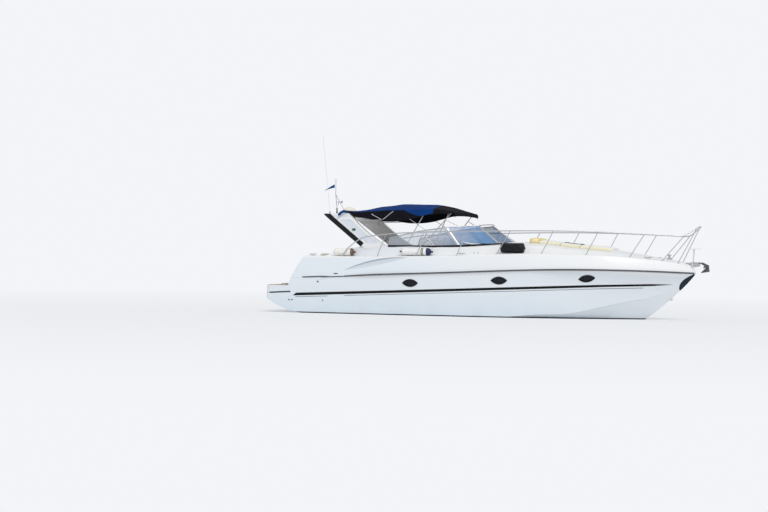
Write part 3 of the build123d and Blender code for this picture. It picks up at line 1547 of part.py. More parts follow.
def make_ladder_lugs():
    """Lugs that carry the ladder's pin at the platform's edge."""
    x = PLATFORM_AFT_X - LADDER_OUT
    z = PLATFORM_TOP_Z + TEAK + LADDER_R + SEAT_GAP
    y = LADDER_HALF + LADDER_R + 8
    lug = block(x - 16, PLATFORM_AFT_X, y, y + 10, z - 80, z + 16)
    lug -= rod((x, 0, z), (x, FAR / 3, z), 8 + BEARING_CLEAR)
    return both_sides(lug)


def make_fender(row, deck_faces):
    """One fender lying on the starboard side deck, a barrel with rounded ends."""
    r = row["radius"]
    half = row["long"] / 2
    reach = half - END_LONG
    spots = [row["x"] - reach, row["x"], row["x"] + reach]
    z = max(height_on(deck_faces, x, row["y"]) for x in spots) + r + FENDER_GAP
    profile = Curve() + [
        Polyline((half, 0), (-half, 0), (-half, NECK_R), (NECK_LONG - half, NECK_R + 4)),
        ThreePointArc(
            (NECK_LONG - half, NECK_R + 4), (NECK_LONG + 40 - half, r * 0.78), (END_LONG - half, r)
        ),
        Line((END_LONG - half, r), (half - END_LONG, r)),
        ThreePointArc(
            (half - END_LONG, r), (half - NECK_LONG - 40, r * 0.78), (half - NECK_LONG, NECK_R + 4)
        ),
        Polyline((half - NECK_LONG, NECK_R + 4), (half, NECK_R), (half, 0)),
    ]
    body = revolve(Plane.XZ * make_face(profile), Axis.X)
    return Pos(row["x"], -row["y"], z) * body


def bow_shoulder(x):
    """Where the bow at x turns down, to port, just inside the cloth."""
    row = canopy_row(x)
    inside = CLOTH + BOW_R + BOW_CLEAR
    return (x, row["shoulder_y"] - inside, row["shoulder_z"] - inside)


def hoop(x):
    """Bow that crosses the boat under the cloth."""
    _, y, z = bow_shoulder(x)
    top_z = canopy_row(x)["crown_z"] - CLOTH - BOW_R - BOW_CLEAR
    arc = ThreePointArc((x, y, z), (x, 0, top_z), (x, -y, z))
    return sweep(Plane(arc @ 0, z_dir=arc % 0) * Circle(BOW_R), path=arc)


def make_canopy_frame(deck_faces):
    """Stainless bows, struts and braces that carry the canopy."""
    frame = Part()
    legs = Part() + Pos(*KNUCKLE) * Sphere(BOW_R) + rod(KNUCKLE_STAY, KNUCKLE, BOW_R)
    inside = CLOTH + BOW_R + BOW_CLEAR
    for strut in STRUTS:
        x = strut["x"]
        z = strut["z"]
        frame += hoop(x)
        skin_y = flank_y(x, z)
        low = (x, flank_y(x, z - 2 * BOW_R) - inside, z - 2 * BOW_R)
        legs += rod(low, bow_shoulder(x), BOW_R)
        legs += Pos(*bow_shoulder(x)) * Sphere(BOW_R)
        head = (x, skin_y + BOW_R + BOW_CLEAR, z)
        legs += rod(KNUCKLE, head, BOW_R)
        legs += rod((x, skin_y - inside, z), (x, head[1] + BOW_R, z), STRUT_PIN_R)
    for bow in BOWS:
        frame += hoop(bow["x"])
        foot = (bow["foot_x"], BOW_FOOT_Y, height_on(deck_faces, bow["foot_x"], BOW_FOOT_Y))
        end = bow_shoulder(bow["x"])
        legs += rod(foot, end, BOW_R)
        legs += Pos(*end) * Sphere(BOW_R)
    start = Vector(*foot) + (Vector(*end) - Vector(*foot)) * BRACE_SHARE
    legs += rod(start, BRACE_TO_LEG, BRACE_R)
    legs += rod(*STRAP, BRACE_R)
    return frame + both_sides(legs)


def save(name, shape):
    """Write one piece to its own file."""
    export_step(shape, os.path.join(OUT, name + ".step"))


os.makedirs(OUT, exist_ok=True)

hull_form = hull_skin()
deck_form = deck_skin()
hull_faces = hull_form.faces()
deck_faces = deck_form.faces()
hull = make_hull(hull_form)
deck = make_deck(deck_form)
save("hull", hull)
save("deck", deck)
save("rub_rail", make_rub_rail(hull, deck))
save("stem_guard", make_stem_guard(hull_form, hull))
save("port_rims", make_port_rims(hull_faces))
save("port_glass", make_port_glass(hull_faces))

save("cockpit_sole", make_sole())
save("engine_hatch", make_engine_hatch())
save("engines", both_sides(make_engine()))
save("platform_teak", make_platform_teak())
save("transom_gate", make_gate())
save("cabin_door", make_door())
save("cabin_fitout", make_cabin_fitout(cabin_space()))

save("steering_wheel", make_wheel())
save("seat_bases", make_seat_bases())
save("cockpit_cushions", make_cushions())
save("wet_bar", make_bar())
save("wet_bar_lid", make_bar_lid())

arch = make_arch(deck)
save("arch", arch)
save("arch_strips", make_arch_strips(arch) - deck)
save("radome", make_radome())
save("light_mast", make_light_mast())
save("anchor_light", make_anchor_light())
save("whip_aerial", make_whip())
glass = make_glass()
frame = make_screen_frame(glass) - deck
console = make_console() - glass - frame
save("windscreen_glass", glass)
save("windscreen_frame", frame)
save("windscreen_sill", make_trim(deck, glass, frame) - console)
save("helm_console", console)
canopy_frame = make_canopy_frame(deck_faces) - arch - deck - frame - glass
save("canopy", make_canopy() - canopy_frame)
save("canopy_roll", make_roll())
save("canopy_frame", canopy_frame)

rail = make_rail(deck_faces)
starboard_rail = mirrored(rail) - deck
save("guard_rail_port", mirrored(starboard_rail))
save("guard_rail_starboard", starboard_rail)
save("bow_step", make_bow_step(deck))
save("sun_pad", make_sun_pad(deck_form))
save("deck_hatch_frame", make_hatch_coaming(deck_form))
save("deck_hatch", make_deck_hatch(deck_form))
save("locker_lid", make_locker_lid(deck_form))
roller = make_bow_roller(deck)
save("bow_roller", roller)
save("anchor", make_anchor(roller) - deck)
save("windlass", make_windlass(deck_faces) - deck)
save("cleats", make_cleats(deck_faces, deck))
fenders = Part()
for row in FENDERS:
    fenders += make_fender(row, deck_faces)
save("fenders", fenders)

save("bow_eye", make_bow_eye(hull_faces, hull))
save("stern_fittings", both_sides(make_stern_eye()) + make_ladder_lugs())
save("bathing_ladder", make_ladder())
propeller = make_propeller() + shaft_line(0, 1, SHAFT_R)
rudder = make_rudder(hull_faces)
tab = make_tab(hull_faces)
save("shaft_brackets", both_sides(make_bracket(hull_faces, hull)))
for side, place in (("port", lambda shape: shape), ("starboard", mirrored)):
    save("propeller_" + side, place(propeller))
    save("rudder_" + side, place(rudder))
    save("trim_tab_" + side, place(tab))
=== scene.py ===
import math

import bmesh
import bpy
from mathutils import Matrix, Vector, noise
from mathutils.bvhtree import BVHTree


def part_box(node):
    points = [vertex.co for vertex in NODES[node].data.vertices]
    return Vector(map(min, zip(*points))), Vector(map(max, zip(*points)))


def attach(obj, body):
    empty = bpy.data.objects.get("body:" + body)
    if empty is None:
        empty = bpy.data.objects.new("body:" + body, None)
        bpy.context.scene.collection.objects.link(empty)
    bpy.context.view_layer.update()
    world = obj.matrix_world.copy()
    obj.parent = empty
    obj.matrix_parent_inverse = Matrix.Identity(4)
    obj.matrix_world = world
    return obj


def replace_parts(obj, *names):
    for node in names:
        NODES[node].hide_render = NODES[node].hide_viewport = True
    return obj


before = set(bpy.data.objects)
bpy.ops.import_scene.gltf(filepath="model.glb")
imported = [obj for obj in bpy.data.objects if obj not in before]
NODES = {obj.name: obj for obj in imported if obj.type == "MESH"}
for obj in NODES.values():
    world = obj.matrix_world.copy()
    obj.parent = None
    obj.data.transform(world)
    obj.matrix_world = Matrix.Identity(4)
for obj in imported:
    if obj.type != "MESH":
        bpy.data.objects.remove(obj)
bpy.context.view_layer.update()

SCENE = bpy.context.scene
SIDES = ((-1, "starboard"), (1, "port"))


# The camera, far off on the starboard quarter and at eye height over the water

VIEW_FROM = (15.630, -57.928, 1.80)
VIEW_TURN = 18.128
VIEW_TILT = -0.014
VIEW_ROLL = 0.875
VIEW_LENS = 91.2


def make_camera():
    """Camera at the place and with the lens that the picture was taken with."""
    data = bpy.data.cameras.new("camera")
    data.lens = VIEW_LENS
    data.sensor_width = 36
    data.clip_end = 900
    turn = math.radians(VIEW_TURN)
    tilt = math.radians(VIEW_TILT)
    roll = math.radians(VIEW_ROLL)
    ahead = Vector((
        -math.sin(turn) * math.cos(tilt), math.cos(turn) * math.cos(tilt), math.sin(tilt),
    ))
    level = ahead.cross(Vector((0, 0, 1))).normalized()
    above = level.cross(ahead)
    right = level * math.cos(roll) + above * math.sin(roll)
    up = above * math.cos(roll) - level * math.sin(roll)
    camera = bpy.data.objects.new("camera", data)
    SCENE.collection.objects.link(camera)
    turned = Matrix((right, up, -ahead)).transposed().to_4x4()
    camera.matrix_world = Matrix.Translation(VIEW_FROM) @ turned
    SCENE.camera = camera


# Shader maths as plain expressions

class Val:
    """One output of a node, with sums on it."""

    def __init__(self, mat, socket):
        self.mat = mat
        self.socket = socket

    def sum(self, operation, *terms):
        return self.mat.node("ShaderNodeMath", {"operation": operation}, list(terms))

    def __add__(self, other):
        return self.sum("ADD", self, other)

    def __radd__(self, other):
        return self.sum("ADD", other, self)

    def __sub__(self, other):
        return self.sum("SUBTRACT", self, other)

    def __rsub__(self, other):
        return self.sum("SUBTRACT", other, self)

    def __mul__(self, other):
        return self.sum("MULTIPLY", self, other)

    def __rmul__(self, other):
        return self.sum("MULTIPLY", other, self)

    def __truediv__(self, other):
        return self.sum("DIVIDE", self, other)

    def __gt__(self, other):
        return self.sum("GREATER_THAN", self, other)

    def __lt__(self, other):
        return self.sum("LESS_THAN", self, other)

    def fold(self, step):
        """Distance to the nearest whole multiple of step."""
        return self.sum("PINGPONG", self, step / 2)

    def wave(self):
        return self.sum("SINE", self)

    def size(self):
        return self.sum("ABSOLUTE", self)

    def floor(self):
        return self.sum("FLOOR", self)


class Mat:
    """A material with one surface shader, built from node calls, and its slot in the record."""

    def __init__(self, name, slot, color, rough, **fixed):
        self.slot = slot
        self.data = bpy.data.materials.new(name)
        self.data.use_nodes = True
        self.data.diffuse_color = (*color, 1)
        self.tree = self.data.node_tree
        self.shader = next(n for n in self.tree.nodes if n.type == "BSDF_PRINCIPLED")
        self.feed("Base Color", (*color, 1))
        self.feed("Roughness", rough)
        for key, value in fixed.items():
            self.feed(key.replace("_", " "), value)

    def feed(self, key, value):
        """Sets a socket of the surface shader, or links it."""
        self.put(self.shader.inputs[key], value)

    def put(self, socket, value):
        if isinstance(value, Val):
            self.tree.links.new(value.socket, socket)
        else:
            socket.default_value = value

    def node(self, kind, settings=None, inputs=None, out=0):
        """Adds a node: its settings first, then the values or links of its sockets."""
        made = self.tree.nodes.new(kind)
        for key, value in (settings or {}).items():
            setattr(made, key, value)
        pairs = inputs.items() if isinstance(inputs, dict) else enumerate(inputs or [])
        for key, value in pairs:
            if value is not None:
                self.put(made.inputs[key], value)
        return Val(self, made.outputs[out])

    def place(self, axis=None, scale=None):
        """Where a point of the piece is, in metres, or one axis of it."""
        spot = self.node("ShaderNodeTexCoord", out="Object")
        if scale:
            spot = self.node("ShaderNodeMapping", None, {"Vector": spot, "Scale": scale})
        if axis is None:
            return spot
        return self.node("ShaderNodeSeparateXYZ", None, [spot], out=axis)

    def facing(self, axis):
        """One axis of the surface's direction."""
        way = self.node("ShaderNodeTexCoord", out="Normal")
        return self.node("ShaderNodeSeparateXYZ", None, [way], out=axis)

    def noise(self, size, detail=3, scale=None, rough=0.5):
        """Soft blotches about size metres across."""
        spot = self.place(scale=scale)
        return self.node(
            "ShaderNodeTexNoise", None,
            {"Vector": spot, "Scale": 1 / size, "Detail": detail, "Roughness": rough},
        )

    def mix(self, mask, low, high):
        """Colour between two colours."""
        low = low if isinstance(low, Val) else (*low, 1)
        high = high if isinstance(high, Val) else (*high, 1)
        return self.node("ShaderNodeMix", {"data_type": "RGBA"}, {0: mask, 6: low, 7: high}, out=2)

    def ramp(self, value, low, high):
        """0 below low, 1 above high, straight between."""
        return self.node(
            "ShaderNodeMapRange", None,
            {"Value": value, "From Min": low, "From Max": high, "To Min": 0.0, "To Max": 1.0},
        )

    def bump(self, height, depth, strength):
        """Feeds the surface's relief: a height from 0 to 1, depth metres deep."""
        self.feed("Normal", self.node(
            "ShaderNodeBump", None, {"Height": height, "Distance": depth, "Strength": strength},
        ))

    def grain(self, scale):
        """Fine cells, scale of them to a metre."""
        return self.node("ShaderNodeTexVoronoi", None, {"Vector": self.place(), "Scale": scale})


# Where the paints and the painted shade change, from one place to another in metres, and how close
# the threads lie

WATERLINE = 0.036
GRIME_SPAN = (0.5, 0.05)
# Painted bluish shade on the topsides: the heights it fades over, then the x it fades over
SHADE_SPAN, SHADE_FROM = (0.95, 0.05), (5.0, 1.0)
# Painted shade on the deck: steep faces fading in towards aft, and the scoops' aft-facing faces
# within these limits
UPRIGHT_SHADE_FROM = (3.5, -2.5)
SCOOP_SHADE_ALONG = (-4.05, -1.70)
SCOOP_SHADE_ASIDE = 1.60
SCOOP_SHADE_UNDER = 1.86
TREAD_UNDER = 2.30
PANEL_SUNK = 0.006
PLANK = 0.055
PLANK_SEAM = 0.0028
THREADS = 2400
SCREEN_SPAN = (-1.4, 0.2)


def shaded(color, by):
    return tuple(c * by for c in color)


def gelcoat(name, slot, color):
    """Polished gelcoat: faint waviness and a little chalking."""
    mat = Mat(name, slot, color, 0.22, Coat_Weight=0.3, Coat_Roughness=0.08)
    dull = mat.noise(1.3, 4)
    mat.feed("Base Color", mat.mix(mat.ramp(dull, 0.35, 0.75), color, shaded(color, 0.965)))
    mat.feed("Roughness", 0.2 + mat.noise(0.7, 3) * 0.16)
    mat.bump(mat.noise(0.45, 2), 0.004, 0.25)
    return mat


def make_hull_paint():
    """White topsides, grimier low down and with painted bluish shade low down and aft, over
    near-black antifouling.
    """
    white = (0.84, 0.88, 0.925)
    mat = gelcoat("hull_white", "hull_gelcoat", white)
    height = mat.place("Z")
    streaks = mat.noise(0.9, 5, scale=(1, 1, 0.12))
    grime = mat.ramp(height, *GRIME_SPAN) * mat.ramp(streaks, 0.42, 0.75) * 0.3
    # Painted shade: the topsides drawn bluer and darker low down and aft
    low = mat.ramp(height, *SHADE_SPAN) * mat.ramp(mat.place("X"), *SHADE_FROM)
    shaded_white = mat.mix(low, white, (0.76, 0.85, 0.93))
    side = mat.mix(grime, shaded_white, (0.56, 0.60, 0.61))
    patches = mat.noise(0.25, 6)
    bottom = mat.mix(mat.ramp(patches, 0.35, 0.7), (0.014, 0.016, 0.02), (0.035, 0.04, 0.046))
    under = height < WATERLINE
    mat.feed("Base Color", mat.mix(under, side, bottom))
    mat.feed("Roughness", 0.2 + under * 0.5)
    mat.feed("Coat Weight", 0.3 - under * 0.3)
    mat.bump(mat.noise(0.5, 2) + under * mat.noise(0.02, 4) * 0.3, 0.004, 0.3)
    return mat


def make_deck_paint():
    """White deck moulding: painted bluish shade on its steep faces aft, painted blue-grey shade in
    the scooped sides, a non-slip grain where one walks.
    """
    white = (0.89, 0.90, 0.91)
    mat = gelcoat("deck_white", "deck_gelcoat", white)
    ahead, aside, height = mat.place("X"), mat.place("Y").size(), mat.place("Z")
    # Painted shade: steep faces drawn bluer and darker, more so aft
    upright_shade = mat.ramp(mat.facing("Z"), 0.55, 0.15) * mat.ramp(ahead, *UPRIGHT_SHADE_FROM)
    white_and_shade = mat.mix(upright_shade, white, (0.80, 0.855, 0.915))
    # Painted shade: the scoops' aft-facing faces drawn blue-grey
    scoop_shade = mat.ramp(mat.facing("X"), -0.05, -0.14) * (ahead > SCOOP_SHADE_ALONG[0])
    scoop_shade = scoop_shade * (ahead < SCOOP_SHADE_ALONG[1]) * (aside > SCOOP_SHADE_ASIDE) * (height < SCOOP_SHADE_UNDER)
    white_and_shade = mat.mix(scoop_shade, white_and_shade, (0.40, 0.50, 0.60))
    flat = mat.ramp(mat.facing("Z"), 0.93, 0.96)
    tread = flat * (height < TREAD_UNDER) * mat.ramp(aside, 0.08, 0.1)
    mat.feed("Base Color", mat.mix(tread * 0.4, white_and_shade, (0.78, 0.79, 0.79)))
    mat.feed("Roughness", 0.22 + tread * 0.35)
    mat.bump(tread * mat.grain(220.0), 0.002, 0.8)
    return mat


ARCH_FOOT = (1.624, 1.690)
ARCH_HEAD = (1.390, 3.090)
ARCH_LEAN = (ARCH_FOOT[0] - ARCH_HEAD[0]) / (ARCH_HEAD[1] - ARCH_FOOT[1])


def make_arch_paint():
    """White arch with grey panels let into the outsides of its legs."""
    white = (0.86, 0.87, 0.88)
    mat = gelcoat("arch_white", "deck_gelcoat", white)
    skin = ARCH_FOOT[0] - (mat.place("Z") - ARCH_FOOT[1]) * ARCH_LEAN
    aside = mat.place("Y")
    sunk = (skin - aside.size()) > PANEL_SUNK
    outward = (mat.facing("Y") * aside) > 0.9
    panel = sunk * outward
    mottle = mat.ramp(mat.noise(0.4, 4), 0.3, 0.8)
    grey = mat.mix(mottle, (0.76, 0.80, 0.86), (0.62, 0.67, 0.74))
    mat.feed("Base Color", mat.mix(panel, white, grey))
    mat.feed("Roughness", 0.22 + panel * 0.2)
    return mat


def make_steel(name="stainless", slot="stainless", color=(0.62, 0.63, 0.66), rough=0.36):
    """Polished metal with faint hand marks and brushing."""
    mat = Mat(name, slot, color, rough, Metallic=1.0)
    smears = mat.noise(0.06, 5)
    mat.feed("Roughness", rough - 0.04 + smears * 0.14)
    mat.feed("Base Color", mat.mix(mat.ramp(smears, 0.3, 0.8), color, shaded(color, 0.8)))
    mat.bump(mat.noise(0.004, 3, scale=(1, 1, 8)), 0.0002, 0.1)
    return mat


def make_rubber(name, slot, color, rough=0.62, shine=0.35):
    """Weathered rubber or vinyl extrusion."""
    mat = Mat(name, slot, color, rough, Specular_IOR_Level=shine)
    worn = mat.noise(0.09, 6)
    pale = tuple(min(1, c * 1.35 + 0.02) for c in color)
    mat.feed("Base Color", mat.mix(mat.ramp(worn, 0.45, 0.85), color, pale))
    mat.feed("Roughness", rough - 0.1 + worn * 0.2)
    mat.bump(mat.noise(0.006, 5), 0.0012, 0.4)
    return mat


def make_plastic(name, slot, color, rough=0.35, shine=0.18):
    """Moulded plastic with a fine cast skin."""
    mat = Mat(name, slot, color, rough, Specular_IOR_Level=shine)
    drift = mat.noise(0.5, 3)
    mat.feed("Base Color", mat.mix(mat.ramp(drift, 0.3, 0.8), color, shaded(color, 0.93)))
    mat.feed("Roughness", rough - 0.05 + drift * 0.12)
    mat.bump(mat.noise(0.0035, 3), 0.0006, 0.3)
    return mat


def make_teak():
    """Laid teak: planks along the boat, dark seams and weathered grain."""
    mat = Mat("teak", "teak", (0.42, 0.27, 0.15), 0.55)
    aside = mat.place("Y")
    seam = aside.fold(PLANK) < PLANK_SEAM
    board = (aside / PLANK + 0.5).floor()
    tint = mat.node(
        "ShaderNodeTexWhiteNoise", {"noise_dimensions": "1D"}, {"W": board}, out="Value",
    )
    grain = mat.noise(0.012, 8, scale=(0.05, 1, 1), rough=0.65)
    wood = mat.mix(mat.ramp(grain, 0.3, 0.75), (0.50, 0.34, 0.20), (0.27, 0.16, 0.085))
    grey = mat.mix(tint * 0.45, wood, (0.45, 0.38, 0.29))
    mat.feed("Base Color", mat.mix(seam, grey, (0.02, 0.02, 0.02)))
    mat.feed("Roughness", 0.5 + grain * 0.2)
    mat.bump(grain * 0.4 - seam * 0.8, 0.0012, 0.6)
    return mat


def make_wood():
    """Varnished cabin joinery."""
    mat = Mat(
        "cabin_wood", "cabin_wood", (0.33, 0.19, 0.10), 0.3, Coat_Weight=0.5, Coat_Roughness=0.08,
    )
    grain = mat.noise(0.03, 8, scale=(0.08, 1, 0.6), rough=0.6)
    veins = mat.ramp(grain, 0.3, 0.72)
    mat.feed("Base Color", mat.mix(veins, (0.42, 0.26, 0.14), (0.24, 0.13, 0.065)))
    mat.bump(grain, 0.0006, 0.3)
    return mat


def make_glass(name, slot, color, alpha, rough=0.03, shine=0.5):
    """Tinted pane: part see-through, with a clear reflection."""
    mat = Mat(name, slot, color, rough, Alpha=alpha, Specular_IOR_Level=shine)
    dust = mat.noise(0.25, 4)
    mat.feed("Roughness", rough + dust * 0.04)
    mat.feed("Alpha", alpha + mat.ramp(dust, 0.4, 0.9) * 0.05)
    return mat


def make_screen_glass():
    """Windscreen glass, bluer and denser towards the front."""
    mat = make_glass("pane_blue", "tinted_glass", (0.22, 0.32, 0.46), 0.50)
    ahead = mat.ramp(mat.place("X"), *SCREEN_SPAN)
    mat.feed("Base Color", mat.mix(ahead, (0.55, 0.60, 0.69), (0.14, 0.32, 0.60)))
    mat.feed("Alpha", 0.30 + ahead * 0.28 + mat.noise(0.25, 4) * 0.04)
    return mat


def make_canvas(name, blue, edge=None):
    """Woven acrylic canvas, faded in patches; painted shade, near black, below the line that the
    piece carries.
    """
    mat = Mat(name, "canvas", blue, 0.95, Specular_IOR_Level=0.12)
    warp = (mat.place("X") * THREADS).wave()
    weft = (mat.place("Y") * THREADS).wave()
    weave = warp * weft * 0.5 + 0.5
    fade = mat.ramp(mat.noise(0.35, 4), 0.3, 0.8)
    color = mat.mix(fade, blue, shaded(blue, 1.35))
    if edge:
        # Painted shade: near black wherever the piece's attribute is above zero
        below = mat.node("ShaderNodeAttribute", {"attribute_name": edge}, out="Fac") > 0
        painted_shade = mat.mix(fade, (0.004, 0.004, 0.007), (0.010, 0.010, 0.015))
        color = mat.mix(below, color, painted_shade)
    mat.feed("Base Color", color)
    mat.feed("Roughness", 0.9 + fade * 0.06)
    mat.bump(weave + mat.noise(0.05, 3) * 2, 0.0008, 0.5)
    return mat


def make_vinyl(name, slot, color, dull, side=None):
    """Soft upholstery vinyl with a pebbled grain; another colour outboard of a line."""
    mat = Mat(name, slot, color, 0.42)
    wear = mat.ramp(mat.noise(0.2, 4), 0.4, 0.85)
    tone = mat.mix(wear, color, dull)
    if side:
        line, trim = side
        tone = mat.mix(mat.place("Y").size() > line, tone, trim)
    mat.feed("Base Color", tone)
    mat.feed("Roughness", 0.38 + wear * 0.12)
    mat.bump(mat.grain(420.0), 0.0008, 0.45)
    return mat


def make_metal_paint(name, slot, color, rough, metal=0.0):
    """Painted or galvanised metal, worn in spots."""
    mat = Mat(name, slot, color, rough, Metallic=metal)
    spots = mat.noise(0.03, 6)
    worn = tuple(c * 0.6 + 0.05 for c in color)
    mat.feed("Base Color", mat.mix(mat.ramp(spots, 0.5, 0.75), color, worn))
    mat.feed("Roughness", rough - 0.08 + spots * 0.2)
    mat.bump(spots, 0.0015, 0.35)
    return mat


# The finishes

PALE_YELLOW = (0.90, 0.85, 0.62)
PAD_EDGE = 0.64

HULL_WHITE = make_hull_paint()
DECK_WHITE = make_deck_paint()
LIP_WHITE = gelcoat("lip_white", "deck_gelcoat", (0.92, 0.93, 0.94))
MOULDED = gelcoat("moulded_white", "moulded_white", (0.84, 0.84, 0.83))
ARCH_WHITE = make_arch_paint()
STEEL = make_steel()
RAIL_GREY = make_rubber("rub_rail_grey", "dark_rubber", (0.075, 0.08, 0.09))
BLACK = make_plastic("black_trim", "black_trim", (0.012, 0.012, 0.015), 0.3)
STRIPE = make_plastic("stripe_black", "black_trim", (0.008, 0.008, 0.01), 0.25)
PIN_GREY = make_plastic("stripe_grey", "black_trim", (0.20, 0.21, 0.24), 0.25)
PLAT_GREY = make_plastic("platform_stripe_grey", "black_trim", (0.06, 0.08, 0.10), 0.3)
GUARD_DARK = make_plastic("stem_guard_dark", "black_trim", (0.010, 0.024, 0.036), 0.25)
TEAK = make_teak()
WOOD = make_wood()
PANE_BLUE = make_screen_glass()
PANE_DARK = make_glass("pane_dark", "dark_glass", (0.010, 0.012, 0.018), 0.93, 0.12, 0.2)
# Canopy cloth: blue, with painted shade below its shade line and at its front
CANOPY_BLUE = make_canvas("canopy_cloth", (0.003, 0.032, 0.150), edge="painted_shade")
CANVAS = make_canvas("canvas_blue", (0.006, 0.045, 0.19))
# Near-black canvas: the hem, front seams and ties, and the painted shade on the canopy's underside
CANVAS_BLACK_AND_SHADE = make_canvas("canvas_black_and_shade", (0.010, 0.010, 0.014))
CREAM = make_vinyl("vinyl_cream", "white_vinyl", (0.80, 0.76, 0.66), (0.72, 0.68, 0.57))
PAD_WHITE = make_vinyl(
    "vinyl_white", "sun_pad_vinyl", (0.90, 0.89, 0.85), (0.84, 0.83, 0.77),
    side=(PAD_EDGE, PALE_YELLOW),
)
PAD_YELLOW = make_vinyl("vinyl_yellow", "sun_pad_vinyl", (0.90, 0.78, 0.40), (0.80, 0.65, 0.30))
GALVANISED = make_metal_paint("galvanised", "dark_steel", (0.13, 0.135, 0.14), 0.5, 0.6)
ENGINE_GREY = make_metal_paint("engine_grey", "engine_paint", (0.36, 0.37, 0.38), 0.45)
BRONZE = make_steel("bronze", "bronze", (0.55, 0.36, 0.16), 0.3)
FOULING = make_metal_paint("antifouling", "rudder_paint", (0.03, 0.033, 0.038), 0.6)
ZINC = make_metal_paint("zinc", "dark_steel", (0.42, 0.43, 0.44), 0.55, 0.4)
RADOME = gelcoat("radome_cream", "radome_cream", (0.88, 0.85, 0.70))
WHIP = make_plastic("whip_white", "whip_white", (0.84, 0.84, 0.83), 0.3)
LEATHER = make_vinyl("wheel_leather", "wheel_rim", (0.03, 0.03, 0.032), (0.06, 0.058, 0.055))
LAMP = make_glass("lamp_clear", "lamp", (0.85, 0.86, 0.80), 0.6)
GREEN_LENS = make_glass("lens_green", "lamp", (0.01, 0.30, 0.10), 0.9)
RED_LENS = make_glass("lens_red", "lamp", (0.45, 0.015, 0.015), 0.9)
FENDER_CREAM = make_rubber("fender_cream", "fender_skin", (0.88, 0.86, 0.80), 0.4)
FENDER_WHITE = make_rubber("fender_white", "fender_skin", (0.88, 0.88, 0.87), 0.4)
FENDER_BLACK = make_rubber("fender_black", "fender_skin", (0.008, 0.009, 0.011), 0.45, 0.2)
FENDER_NAVY = make_rubber("fender_navy", "fender_skin", (0.02, 0.022, 0.09), 0.4)
FENDER_GREY = make_rubber("fender_grey", "fender_skin", (0.10, 0.10, 0.11), 0.5)
FENDER_BROWN = make_rubber("fender_brown", "fender_skin", (0.16, 0.09, 0.07), 0.55)

FINISHES = (
    (HULL_WHITE, "hull"), (DECK_WHITE, "deck locker_lid"), (RAIL_GREY, "rub_rail"),
    (GUARD_DARK, "stem_guard"), (BLACK, "port_rims arch_strips windscreen_sill"),
    (PANE_DARK, "port_glass cabin_door deck_hatch"),
    (TEAK, "cockpit_sole engine_hatch platform_teak"), (ENGINE_GREY, "engines"),
    (MOULDED, "transom_gate helm_console seat_bases wet_bar wet_bar_lid bow_step"),
    (WOOD, "cabin_fitout"), (LEATHER, "steering_wheel"), (CREAM, "cockpit_cushions"),
    (ARCH_WHITE, "arch"), (RADOME, "radome"), (LAMP, "anchor_light"), (WHIP, "whip_aerial"),
    (PANE_BLUE, "windscreen_glass"), (CANVAS, "canopy canopy_roll"), (PAD_WHITE, "sun_pad"),
    (GALVANISED, "anchor"), (FENDER_CREAM, "fenders"),
    (BRONZE, "shaft_brackets propeller_port propeller_starboard"),
    (FOULING, "rudder_port rudder_starboard"),
    (STEEL, "light_mast windscreen_frame canopy_frame guard_rail_port guard_rail_starboard "
            "deck_hatch_frame bow_roller windlass cleats bow_eye "
            "stern_fittings bathing_ladder trim_tab_port trim_tab_starboard"),
)


def dress_nodes():
    """Gives each carried-over solid its finish."""
    for finish, names in FINISHES:
        for name in names.split():
            materials = NODES[name].data.materials
            materials.clear()
            materials.append(finish.data)


# Mesh building

def grid_faces(rows, columns, close=False):
    """Faces of a net of rows by columns of points."""
    faces = []
    last = columns if close else columns - 1
    for i in range(rows - 1):
        for j in range(last):
            k = (j + 1) % columns
            here, beyond = i * columns, (i + 1) * columns
            faces.append((here + j, here + k, beyond + k, beyond + j))
    return faces


def turns(count, whole=False):
    """Angles round a circle; whole ends where it began."""
    return [math.tau * k / count for k in range(count + whole)]


def facing(spot, way, up=(0, 0, 1)):
    """Stands a flat design on a surface: x to its right, y up, z outward."""
    z = Vector(way).normalized()
    x = Vector(up).cross(z).normalized()
    return Matrix.Translation(spot) @ Matrix((x, z.cross(x), z)).transposed().to_4x4()


